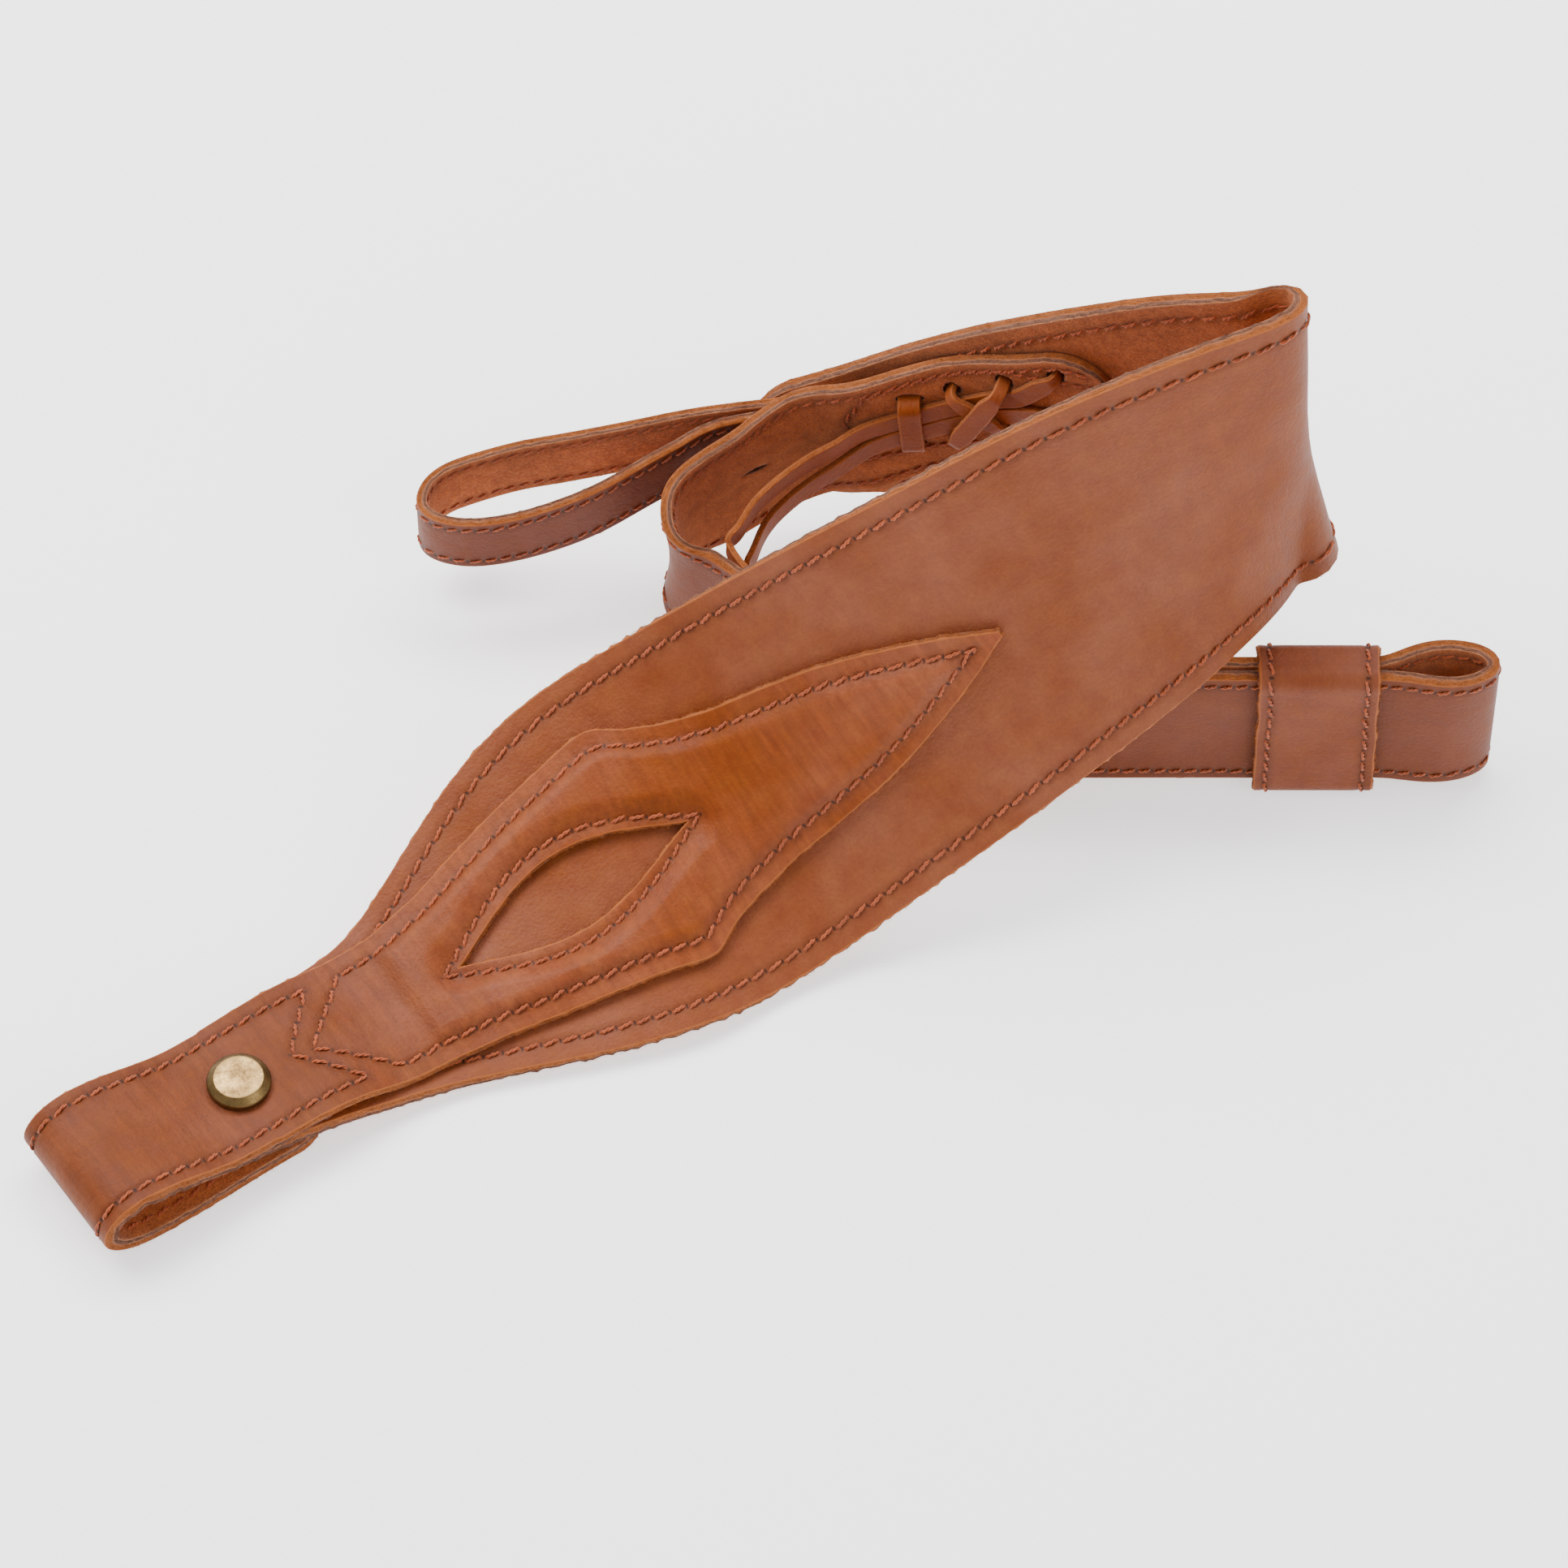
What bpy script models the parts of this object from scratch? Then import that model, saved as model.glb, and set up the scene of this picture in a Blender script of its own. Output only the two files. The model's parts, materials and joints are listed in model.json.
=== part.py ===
"""Leather shoulder strap, coiled as it lies on a table.

A wide padded shoulder strap narrows to a folded front loop that is closed by a screw stud. The tail strap is
sewn and laced to its other end, doubles back through a sliding keeper and makes the end loop. A narrow hand
loop is held between the two straps where they join.

Routes are in millimetres and run counter-clockwise seen from above, with the smooth side facing outwards.
"""

import bmesh
import bpy
import numpy as np
from mathutils import Matrix, Vector

MM = 0.001

# The middle of the part's foot in the coordinates of the routes below. It becomes the world origin.
ORIGIN = (-3.294, -25.636, 0.2)

# Clear space between neighbouring layers, and the thickness of each layer.
GAP = 0.3
SHOULDER_LEATHER = 2.0
SHOULDER_LINING = 1.2
TAB_LEATHER = 2.0
TAB_LINING = 1.2
PADDING = 2.2
# The padding lies this far inside the seams, and is this much thinner than the room under the leather.
PAD_INSET = 6.4
PAD_EASE = 0.75
PAD_LEAST = 0.3
# Where the padded rise starts and ends along the shoulder strap, the flat rim by the seams, and the slope.
PUFF_START = 52
PUFF_END = 214
PUFF_RIM = 2.5
PUFF_RISE = 6.0
TAIL_LEATHER = 1.8
TAIL_LINING = 1.0
HAND_LEATHER = 1.4
HAND_LINING = 0.8
LACE = 1.5

# A hole narrower than this closes to a point.
LEAST_HOLE = 0.05

# Half widths.
TAB_HALF = 17.3
TAIL_HALF = 18.0
HAND_HALF = 8.0
LACE_HALF = 2.5

# Each station of a strap: x, y, z, the lean of its cross-section in degrees (0 lies flat, 90 stands on edge),
# and its half width. The curve is the inner face of the leather layer.
SHOULDER = [
    (-133, -98.5, 7.1, 0, 15),
    (-124, -92.5, 7.1, 0, 16),
    (-112, -84, 7.1, 0, 18.5),
    (-99, -75, 5.4, 3, 20.5),
    (-84, -65, 5.5, 7, 24.5),
    (-62, -50, 10.5, 12.5, 35.5),
    (-40, -36, 17, 18.5, 43),
    (-18, -24, 23, 29, 44),
    (8, -15, 39, 44, 43),
    (40, -6.5, 62, 54, 42),
    (74, 7, 80, 63, 42),
    (104, 23.5, 87, 75, 42),
    (118.5, 38.5, 85.5, 84, 41.5),
    (99.5, 51.5, 77, 86, 40),
    (61, 63.5, 57, 88, 34),
    (25, 75.5, 38.5, 90, 23),
    (-5, 80, 25.5, 91, 19),
]

# Corner radii at the clamped tongue and at the sewn end, and at the tail strap's two ends.
SHOULDER_CORNERS = (6.0, 17.0)
TAIL_CORNERS = (12.0, 10.0)

# How the start of the tail strap lies on the shoulder strap: place along it, place across it, and how far its
# leather's inner face stands off on the lined side.
JOIN = [
    (354, 9.5, -3.9),
    (365, 9.5, -3.9),
    (379, 9.5, -4.0),
    (394, 9.5, -4.1),
    (408, 9.5, -6.6),
    (422, 9.5, -9.7),
    (435, 9.5, -10.2),
]
TAIL_CURL = [
    (-1.7, 67.0, 37, 90),
    (-9.2, 63.9, 33.9, 90),
    (-16.7, 60.3, 30.7, 90),
    (-22.8, 55.8, 27.5, 90),
    (-25.3, 49.2, 24.3, 90),
    (-22.8, 43.3, 21.7, 90),
    (-16.2, 38.3, 20, 89),
    (-6, 29.9, 19.2, 88),
    (9, 18.2, 19.9, 87),
    (31, 6.2, 21.2, 86),
    (48, 2.6, 21.6, 86),
    (64, 2.0, 21.7, 86),
    (84, 2.0, 21.7, 86),
    (104, 2.0, 21.7, 86),
    (124, 2.0, 21.7, 86),
    (139, 2.0, 21.7, 86),
]
END_LOOP = [
    (146.5, 1.2, 21.7, 86),
    (153, 0.5, 21.7, 87),
    (159, 1.4, 21.7, 88),
    (163, 3.7, 21.7, 89),
    (164, 6.4, 21.7, 91),
    (161.6, 8.9, 21.7, 93),
    (156, 10.2, 21.7, 94),
    (149, 9.6, 21.7, 94),
    (142.5, 6.9, 21.7, 94),
    (137, 5.5, 21.7, 94),
]
# The straight run of the tail strap: its side position and its height.
RUN_SIDE = 2.0
RUN_HEIGHT = 21.7
PLY_STEP = 3.4
INNER_PLY_STOPS = (128, 116, 100, 84, 68, 54, 42)
# The inner ply ends this far before the front run begins.
INNER_END_BACK = 47

HAND_LOOP = [
    (-17, 76.0, 37.3, 90),
    (-32.5, 74.2, 35, 90),
    (-50, 72.6, 31.5, 90),
    (-61.7, 71.9, 29, 90),
    (-71, 70.4, 27, 90),
    (-79, 68.6, 24.6, 90),
    (-83.8, 65.4, 23, 90),
    (-85.5, 61, 22.6, 90),
    (-83.6, 56.6, 23, 90),
    (-78.4, 53.9, 23.5, 90),
    (-71.7, 52.8, 24.5, 90),
    (-64.2, 53.4, 25.5, 90),
    (-55.5, 55.2, 27, 90),
    (-44, 58.6, 30, 90),
    (-33, 63.9, 33, 90),
    (-24.2, 68.2, 35.5, 90),
    (-14.8, 72.3, 37.3, 90),
]
HAND_ROOT_ACROSS = 11
HAND_FAR_OFF = -3.55
HAND_NEAR_OFF = -6.05
HAND_FAR_STOPS = (423, 431, 439)
HAND_NEAR_STOPS = (443, 435, 427)

# The front loop's profile: distance along the strap from the stud, height of the leather's inner face.
STUD_PLACE = 10.8
FRONT_LOOP = [
    (15, 3.8),
    (6, 3.8),
    (-4, 3.7),
    (-15, 3.0),
    (-27, 2.6),
    (-36.5, 3.2),
    (-42.8, 6.0),
    (-45.2, 10.4),
    (-42.6, 14.8),
    (-36, 16.9),
    (-26, 15.3),
    (-17, 12.6),
    (-10, 11.1),
    (-5, 10.9),
]
TAB_STAND_OFF = [(0, 3.8), (22, 3.8), (34, 2.4), (400, 2.3)]

# Outline of the decorative panel: place along the shoulder strap, half width.
PANEL = [
    (0, 17.3),
    (30, 18.2),
    (58, 18.6),
    (72, 20.5),
    (84, 23.2),
    (98, 26),
    (110, 28),
    (121, 30.2),
    (125, 30.2),
    (131, 26.4),
    (140, 22.8),
    (152, 19.8),
    (166, 18),
    (180, 15.8),
    (191, 13),
    (201, 9.8),
    (212, 5.6),
    (220, 1.6),
    (222, 0.5),
]
PANEL_CORNER = (121, 127)
EYE_START = 71
EYE_END = 134
EYE_HALF = 9.4

# Lacing holes, as place along the tail strap and place across it.
HOLE_1 = (40.0, 10.0)
HOLE_2 = (46.0, -5.0)
HOLE_3 = (25.0, 11.5)
HOLE_4 = (31.0, -3.6)
HOLE_5 = (10.5, 12.5)
HOLE_6 = (16.5, 0.0)
HOLE_SIZE = 4.6
# The strands are squeezed to this half width inside the holes, and end this far inside the layers.
SQUEEZED_HALF = 1.5
STRAND_FOOT = 1.4
BACK_FOOT = 3.4
BEND_RADIUS = 1.3
CROSS_HALF = 2.4
# Each lace on its way over the tail strap to its hole, as place along it and place across it.
UPPER_LACE_WAY = [(66, 4.7), (54.5, 4.6), (43, 4.9), (34, 5.7), (28, 6.6), (23, 7.0), (17, 9.6)]
LOWER_LACE_WAY = [(66, -1.0), (54.5, -1.0), (43, -0.6), (34, 0.1), (28, 1.0), (23, 0.8)]
# The free part of each lace, inside the curl of the tail strap.
UPPER_LACE_FREE = [
    (-13.3, 43.2, 33.2),
    (-11.6, 47.4, 35.6),
    (-8.5, 51.4, 38.2),
    (-3.4, 55.9, 41.2),
    (5.0, 60.6, 45.2),
    (12.0, 62.6, 48.8),
]
LOWER_LACE_FREE = [
    (-9.3, 42.6, 25.2),
    (-8.0, 46.6, 27.8),
    (-5.8, 50.8, 30.4),
    (-1.6, 55.2, 33.8),
    (5.6, 59.4, 38.0),
    (12.6, 62.0, 42.0),
]
UPPER_LACE_ACROSS = 12.4
# How the laces start between the plies: how far past the inner ply's end, and how far off the outer ply.
LACE_HOLD = [(11, 0.25), (5, 0.3), (-1, 0.7)]
LACE_LIFT = 0.9
LACE_LIFT_FROM = 60
LOWER_LACE_ACROSS = 5.6
# The band over the laces: its two ends in tail strap places, its half width and thickness, and its slots.
BAND_TOP = (51.4, 10.0)
BAND_FOOT = (57.6, -6.0)
BAND_HALF = 2.6
BAND_THICK = 1.4
BAND_SLOT = (7.0, 2.9)
SLIT_PLACE = 96.0
SLIT_ACROSS = 3.0
SLIT_SIZE = (7.0, 1.3)

KEEPER_LEFT = 109.6
KEEPER_RIGHT = 137.8
KEEPER_LEATHER = 1.4
KEEPER_LINING = 0.8
KEEPER_CORNER = 1.2
KEEPER_EASE = 0.6

STUD_CAP_RADIUS = 7.4
STUD_CAP_THICK = 3.0
POST_RADIUS = 2.5
POST_BORE = 1.6
SCREW_SHANK = 1.52
SCREW_HEAD_RADIUS = 4.8
SCREW_HEAD_THICK = 1.3
SCREW_FOOT = 0.2
STUD_HOLE = 2.8
# The cap's underside over the shoulder leather's inner face, its chamfer, and the ends of post, bore and shank.
CAP_LIFT = 6.1
CAP_CHAMFER = 0.9
POST_FOOT = 2.0
POST_OVERLAP = 0.5
BORE_END = 1.5
SHANK_TOP = 8.5
SLOT_WIDE = 0.9
SLOT_DEEP = 0.6

MATERIALS = {
    "smooth_leather": ((0.20, 0.055, 0.022), 0.42, 0.0),
    "suede_lining": ((0.22, 0.105, 0.055), 0.92, 0.0),
    "foam_padding": ((0.55, 0.50, 0.42), 0.95, 0.0),
    "lace_leather": ((0.22, 0.065, 0.026), 0.5, 0.0),
    "antique_brass": ((0.42, 0.29, 0.15), 0.35, 1.0),
}


# ---- curves -------------------------------------------------------------------------------------------------


def spline(points, per_span):
    """Natural cubic curve through the points, with per_span samples to each span."""
    points = np.asarray(points, float)
    count = len(points)
    left = np.zeros((count, count))
    right = np.zeros_like(points)
    left[0, 0] = left[-1, -1] = 1.0
    for i in range(1, count - 1):
        left[i, i - 1 : i + 2] = (1.0, 4.0, 1.0)
        right[i] = 6 * (points[i + 1] - 2 * points[i] + points[i - 1])
    bend = np.linalg.solve(left, right)
    u = np.linspace(0, count - 1, (count - 1) * per_span + 1)
    k = np.minimum(u.astype(int), count - 2)
    t = (u - k)[:, None]
    ends = (1 - t) * points[k] + t * points[k + 1]
    return ends + ((1 - t) ** 3 - (1 - t)) * bend[k] / 6 + (t**3 - t) * bend[k + 1] / 6


def unit(rows):
    return rows / np.linalg.norm(rows, axis=-1)[..., None]


class Track:
    """A centre line with a direction across and a direction outwards at every sample."""

    def __init__(self, centre, across, half=None):
        self.centre = np.asarray(centre, float)
        self.half = np.ones(len(self.centre)) if half is None else half
        self.along = unit(np.gradient(self.centre, axis=0))
        lean = (across * self.along).sum(1)[:, None] * self.along
        self.across = unit(across - lean)
        self.out = np.cross(self.along, self.across)
        steps = np.linalg.norm(np.diff(self.centre, axis=0), axis=1)
        self.place = np.concatenate([[0], np.cumsum(steps)])
        self.length = self.place[-1]

    def read(self, rows, place):
        return np.stack([np.interp(place, self.place, rows[:, k]) for k in range(3)], -1)

    def spot(self, place, across=0.0, out=0.0):
        """The point at this place along the track, this far across it and this far outwards."""
        place = np.asarray(place, float)
        across = np.asarray(across, float)[..., None]
        out = np.asarray(out, float)[..., None]
        base = self.read(self.centre, place)
        return base + across * unit(self.read(self.across, place)) + out * unit(self.read(self.out, place))

    def half_at(self, place):
        return np.interp(place, self.place, self.half)

    def lean_at(self, place):
        """The lean in degrees of the cross-section at this place."""
        along = unit(self.read(self.along, place))
        across = unit(self.read(self.across, place))
        level = unit(np.array((-along[1], along[0], 0)))
        upright = np.cross(along, level)
        return float(np.degrees(np.arctan2(across @ upright, across @ level)))

    def nearest(self, point, low, high):
        span = np.linspace(low, high, 400)
        gap = np.linalg.norm(self.read(self.centre, span) - np.asarray(point, float), axis=1)
        return span[gap.argmin()]

    def cuts(self, start, end, most_step=9.0, most_turn=7.0):
        """Places for cross-sections: close together where the strap bends, further apart where it is straight."""
        fine = np.arange(start, end, 0.25)
        frames = np.concatenate([self.read(self.along, fine), self.read(self.across, fine)], 1)
        turn = np.degrees(np.linalg.norm(np.diff(frames, axis=0), axis=1))
        cost = np.maximum(turn / most_turn, 0.25 / most_step)
        total = np.concatenate([[0], np.cumsum(cost)])
        count = max(2, int(np.ceil(total[-1])) + 1)
        inner = np.interp(np.linspace(0, total[-1], count), total, fine)
        return np.unique(np.round(np.concatenate([inner[:-1], [end]]), 4))


def lean_directions(centre, lean):
    """The direction across a strap from its lean: 0 is level, 90 points up."""
    along = unit(np.gradient(centre, axis=0))
    level = unit(np.stack([-along[:, 1], along[:, 0], 0 * along[:, 0]], -1))
    upright = np.cross(along, level)
    angle = np.radians(lean)[:, None]
    return np.cos(angle) * level + np.sin(angle) * upright


def lean_track(stations, per_span=24):
    rows = spline(stations, per_span)
    centre = rows[:, :3]
    half = rows[:, 4] if rows.shape[1] > 4 else None
    return Track(centre, lean_directions(centre, rows[:, 3]), half)


def eased(table, place):
    """Reads a table of (place, value) with soft corners."""
    table = np.asarray(table, float)
    shifts = np.linspace(-2.0, 2.0, 9)
    return np.mean([np.interp(np.asarray(place) + s, table[:, 0], table[:, 1]) for s in shifts], axis=0)


# ---- the routes ---------------------------------------------------------------------------------------------


def shoulder_track():
    return lean_track(SHOULDER)


def tail_track(shoulder):
    """Starts on the shoulder strap, curls round, runs to the end loop and comes back as the inner ply."""
    start = [tuple(shoulder.spot(s, w, off)) + (shoulder.lean_at(s),) for s, w, off in JOIN]
    outer = start + TAIL_CURL
    first = lean_track([row + (0,) for row in outer])
    inner = []
    for x in INNER_PLY_STOPS:
        beside = first.nearest((x, RUN_SIDE, RUN_HEIGHT), 150, first.length)
        inner.append((x, first.spot(beside, 0, -PLY_STEP)[1], RUN_HEIGHT, 94))
    curl_start = first.nearest(TAIL_CURL[9][:3], 100, first.length)
    for back, lift, lean in ((2, 0.1, 93.5), (20, 0.8, 92.5), (34, 2.0, 91.5), (INNER_END_BACK, 2.6, 91)):
        inner.append(tuple(first.spot(curl_start - back, 0, -PLY_STEP - lift)) + (lean,))
    return lean_track([row + (0,) for row in outer + END_LOOP + inner]), curl_start - INNER_END_BACK


def hand_track(shoulder):
    far = []
    for s in HAND_FAR_STOPS:
        far.append(tuple(shoulder.spot(s, HAND_ROOT_ACROSS, HAND_FAR_OFF)) + (shoulder.lean_at(s),))
    near = []
    for s in HAND_NEAR_STOPS:
        near.append(tuple(shoulder.spot(s, HAND_ROOT_ACROSS, HAND_NEAR_OFF)) + (180 - shoulder.lean_at(s),))
    return lean_track([row + (0,) for row in far + HAND_LOOP + near])


def tab_track(shoulder):
    """The front loop's plies, then the panel that lies on the shoulder strap."""
    stud = shoulder.spot(STUD_PLACE)
    heading = unit(shoulder.read(shoulder.along, STUD_PLACE) * (1, 1, 0))
    across = shoulder.read(shoulder.across, STUD_PLACE)
    loop = spline(FRONT_LOOP + [(0, 10.9)], 20)[:-14]
    centre = [stud * (1, 1, 0) + heading * a + np.array((0, 0, z)) for a, z in loop]
    sides = [across] * len(centre)
    for s in np.arange(STUD_PLACE, shoulder.length - 200, 1.5):
        centre.append(shoulder.spot(s, 0, np.interp(s - STUD_PLACE, *zip(*TAB_STAND_OFF))))
        sides.append(unit(shoulder.read(shoulder.across, s)))
    return Track(np.array(centre), np.array(sides))


# ---- meshes -------------------------------------------------------------------------------------------------


def material(name):
    found = bpy.data.materials.get(name)
    if found:
        return found
    colour, rough, metal = MATERIALS[name]
    made = bpy.data.materials.new(name)
    made.use_nodes = True
    shader = made.node_tree.nodes["Principled BSDF"]
    shader.inputs["Base Color"].default_value = (*colour, 1)
    shader.inputs["Roughness"].default_value = rough
    shader.inputs["Metallic"].default_value = metal
    made.diffuse_color = (*colour, 1)
    return made


def add_object(name, mesh, slot):
    for face in mesh.polygons:
        face.use_smooth = True
    made = bpy.data.objects.new(name, mesh)
    bpy.context.scene.collection.objects.link(made)
    mesh.materials.append(material(slot))
    return made


def finish_mesh(name, shape, slot):
    bmesh.ops.recalc_face_normals(shape, faces=shape.faces)
    mesh = bpy.data.meshes.new(name)
    shape.to_mesh(mesh)
    shape.free()
    return add_object(name, mesh, slot)


def world(spot):
    """A place in route coordinates, in metres from the world origin."""
    return (Vector(spot) - Vector(ORIGIN)) * MM


def slab(name, low, high, faces, slot):
    """A closed body from two matching sheets of points: low, high, and walls round every open edge."""
    shape = bmesh.new()
    bottom = [shape.verts.new(world(p)) for p in low]
    top = [shape.verts.new(world(p)) for p in high]
    sides = {}
    for face in faces:
        shape.faces.new([top[i] for i in face])
        shape.faces.new([bottom[i] for i in reversed(face)])
        for a, b in zip(face, face[1:] + face[:1]):
            sides[(a, b)] = sides.get((a, b), 0) + 1
    for a, b in sides:
        if (b, a) not in sides:
            shape.faces.new((top[b], top[a], bottom[a], bottom[b]))
    return finish_mesh(name, shape, slot)


def leaf(name, track, places, outer, inner, low, high, slot, columns=1):
    """A sheet along a track, from inner to outer on both sides of the centre line. Where inner is 0 the two
    sides join, and elsewhere there is a hole between them. low and high give the offsets of its two faces.
    Every layer is split along the same diagonals, so that layers of a twisted strap stay clear."""
    rows = []
    spots = []
    for place in places:
        hole = inner(place)
        hole = hole if hole > LEAST_HOLE else 0
        edge = outer(place)
        steps = [hole + (edge - hole) * k / columns for k in range(columns + 1)]
        left = []
        right = []
        for k, step in enumerate(steps):
            left.append(len(spots))
            spots.append((place, step))
            if k == 0 and hole == 0:
                right.append(left[0])
                continue
            right.append(len(spots))
            spots.append((place, -step))
        rows.append((left, right))
    faces = []
    for (left, right), (next_left, next_right) in zip(rows, rows[1:]):
        for k in range(columns):
            faces.append([left[k], next_left[k], next_left[k + 1]])
            faces.append([left[k], next_left[k + 1], left[k + 1]])
            faces.append([right[k + 1], next_right[k + 1], next_right[k]])
            faces.append([right[k + 1], next_right[k], right[k]])
    faces = [face for face in faces if len(set(face)) == 3]
    spots = np.array(spots)
    below = track.spot(spots[:, 0], spots[:, 1], low(spots[:, 0], spots[:, 1]))
    above = track.spot(spots[:, 0], spots[:, 1], high(spots[:, 0], spots[:, 1]))
    return slab(name, below, above, faces, slot)


def flat(value):
    return lambda place, across: np.full(np.shape(place), float(value))


def rounded(half, start, end, start_corner, end_corner):
    """Half width with its corners rounded off at both ends."""

    def width(place):
        full = half(place)
        for distance, corner in ((place - start, start_corner), (end - place, end_corner)):
            if corner and distance < corner:
                rise = np.sqrt(max(corner**2 - (corner - distance) ** 2, 0.0))
                full = min(full, half(place) - corner + max(rise, 0.0))
        return max(full, 0.4)

    return width


def with_ends(places, start_corner, end_corner):
    extra = []
    for share in (0.04, 0.15, 0.35, 0.62, 1.0):
        if start_corner:
            extra.append(places[0] + start_corner * share)
        if end_corner:
            extra.append(places[-1] - end_corner * share)
    kept = [
        p
        for p in places[1:-1]
        if p > places[0] + start_corner * 1.1 and p < places[-1] - end_corner * 1.1
    ]
    return sorted([places[0], places[-1]] + extra + kept)


def strap(name, track, start, end, half, low, high, slot, corners=(0.0, 0.0)):
    places = with_ends(list(track.cuts(start, end)), *corners)
    width = rounded(half, start, end, *corners)
    return leaf(name, track, places, width, lambda place: 0, flat(low), flat(high), slot)


def pair(name, track, start, end, half, leather, lining, corners):
    """A leather layer and its suede lining, a small gap apart."""
    made = strap(name + "_leather", track, start, end, half, 0, leather, "smooth_leather", corners)
    under = strap(name + "_lining", track, start, end, half, -GAP - lining, -GAP, "suede_lining", corners)
    return made, under


# ---- cutters ------------------------------------------------------------------------------------------------


def hide_cutter(cutter):
    cutter.hide_render = True
    cutter.display_type = "WIRE"
    return cutter


def rod(name, centre, radius, bottom, top, slot, sides=40):
    shape = bmesh.new()
    bmesh.ops.create_cone(
        shape,
        cap_ends=True,
        segments=sides,
        radius1=radius * MM,
        radius2=radius * MM,
        depth=(top - bottom) * MM,
        matrix=Matrix.Translation(world((centre[0], centre[1], (top + bottom) / 2))),
    )
    return finish_mesh(name, shape, slot)


def oval_cutter(name, frame, middle, size, low, high, sides=20):
    """A straight oval hole along the frame's third direction. size is its length along the second and first."""
    first, second, out = frame
    shape = bmesh.new()
    rings = []
    for offset in (low, high):
        ring = []
        for k in range(sides):
            angle = 2 * np.pi * k / sides
            spot = middle + out * offset
            spot = spot + second * np.sin(angle) * size[0] / 2 + first * np.cos(angle) * size[1] / 2
            ring.append(shape.verts.new(world(spot)))
        rings.append(ring)
    for k in range(sides):
        after = (k + 1) % sides
        shape.faces.new((rings[0][k], rings[0][after], rings[1][after], rings[1][k]))
    shape.faces.new(rings[0][::-1])
    shape.faces.new(rings[1])
    return hide_cutter(finish_mesh(name, shape, "smooth_leather"))


def cut(target, cutters):
    for cutter in cutters:
        boolean = target.modifiers.new("cut_" + cutter.name, "BOOLEAN")
        boolean.operation = "DIFFERENCE"
        boolean.solver = "EXACT"
        boolean.object = cutter


def join(target, other):
    boolean = target.modifiers.new("join_" + other.name, "BOOLEAN")
    boolean.operation = "UNION"
    boolean.solver = "EXACT"
    boolean.object = other
    hide_cutter(other)


# ---- the pieces ---------------------------------------------------------------------------------------------


def build_shoulder(shoulder):
    panel_end = PANEL[-1][0]
    places = list(shoulder.cuts(0, panel_end, 4.5, 4.0)) + list(shoulder.cuts(panel_end, shoulder.length))
    places = with_ends(sorted(set(places)), *SHOULDER_CORNERS)
    width = rounded(shoulder.half_at, 0, shoulder.length, *SHOULDER_CORNERS)
    layers = (
        ("shoulder_leather", 0, SHOULDER_LEATHER, "smooth_leather"),
        ("shoulder_lining", -GAP - SHOULDER_LINING, -GAP, "suede_lining"),
    )
    made = []
    for name, low, high, slot in layers:
        made.append(leaf(name, shoulder, places, width, lambda p: 0, flat(low), flat(high), slot, columns=2))
    return made


def panel_half(place):
    return float(eased(PANEL, place))


def eye_half(place):
    """Half width of the pointed eye-shaped window in the panel."""
    if place <= EYE_START or place >= EYE_END:
        return 0.0
    share = (place - EYE_START) / (EYE_END - EYE_START)
    return float(EYE_HALF * np.sin(np.pi * share) ** 1.15)


def puff(place, across):
    """How far the padding lifts the panel, none at the stitched edges."""
    across = np.abs(across)
    edge = np.array([panel_half(s) for s in place])
    eye = np.array([eye_half(s) for s in place])
    past = np.maximum(np.maximum(EYE_START - place, place - EYE_END), 0)
    from_eye = np.where(past > 0, np.hypot(past, across), across - eye)
    from_ends = np.minimum(place - PUFF_START, PUFF_END - place)
    room = np.minimum(np.minimum(edge - across, from_ends), from_eye)
    share = np.clip((room - PUFF_RIM) / PUFF_RISE, 0, 1)
    return PADDING * share * share * (3 - 2 * share)


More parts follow.
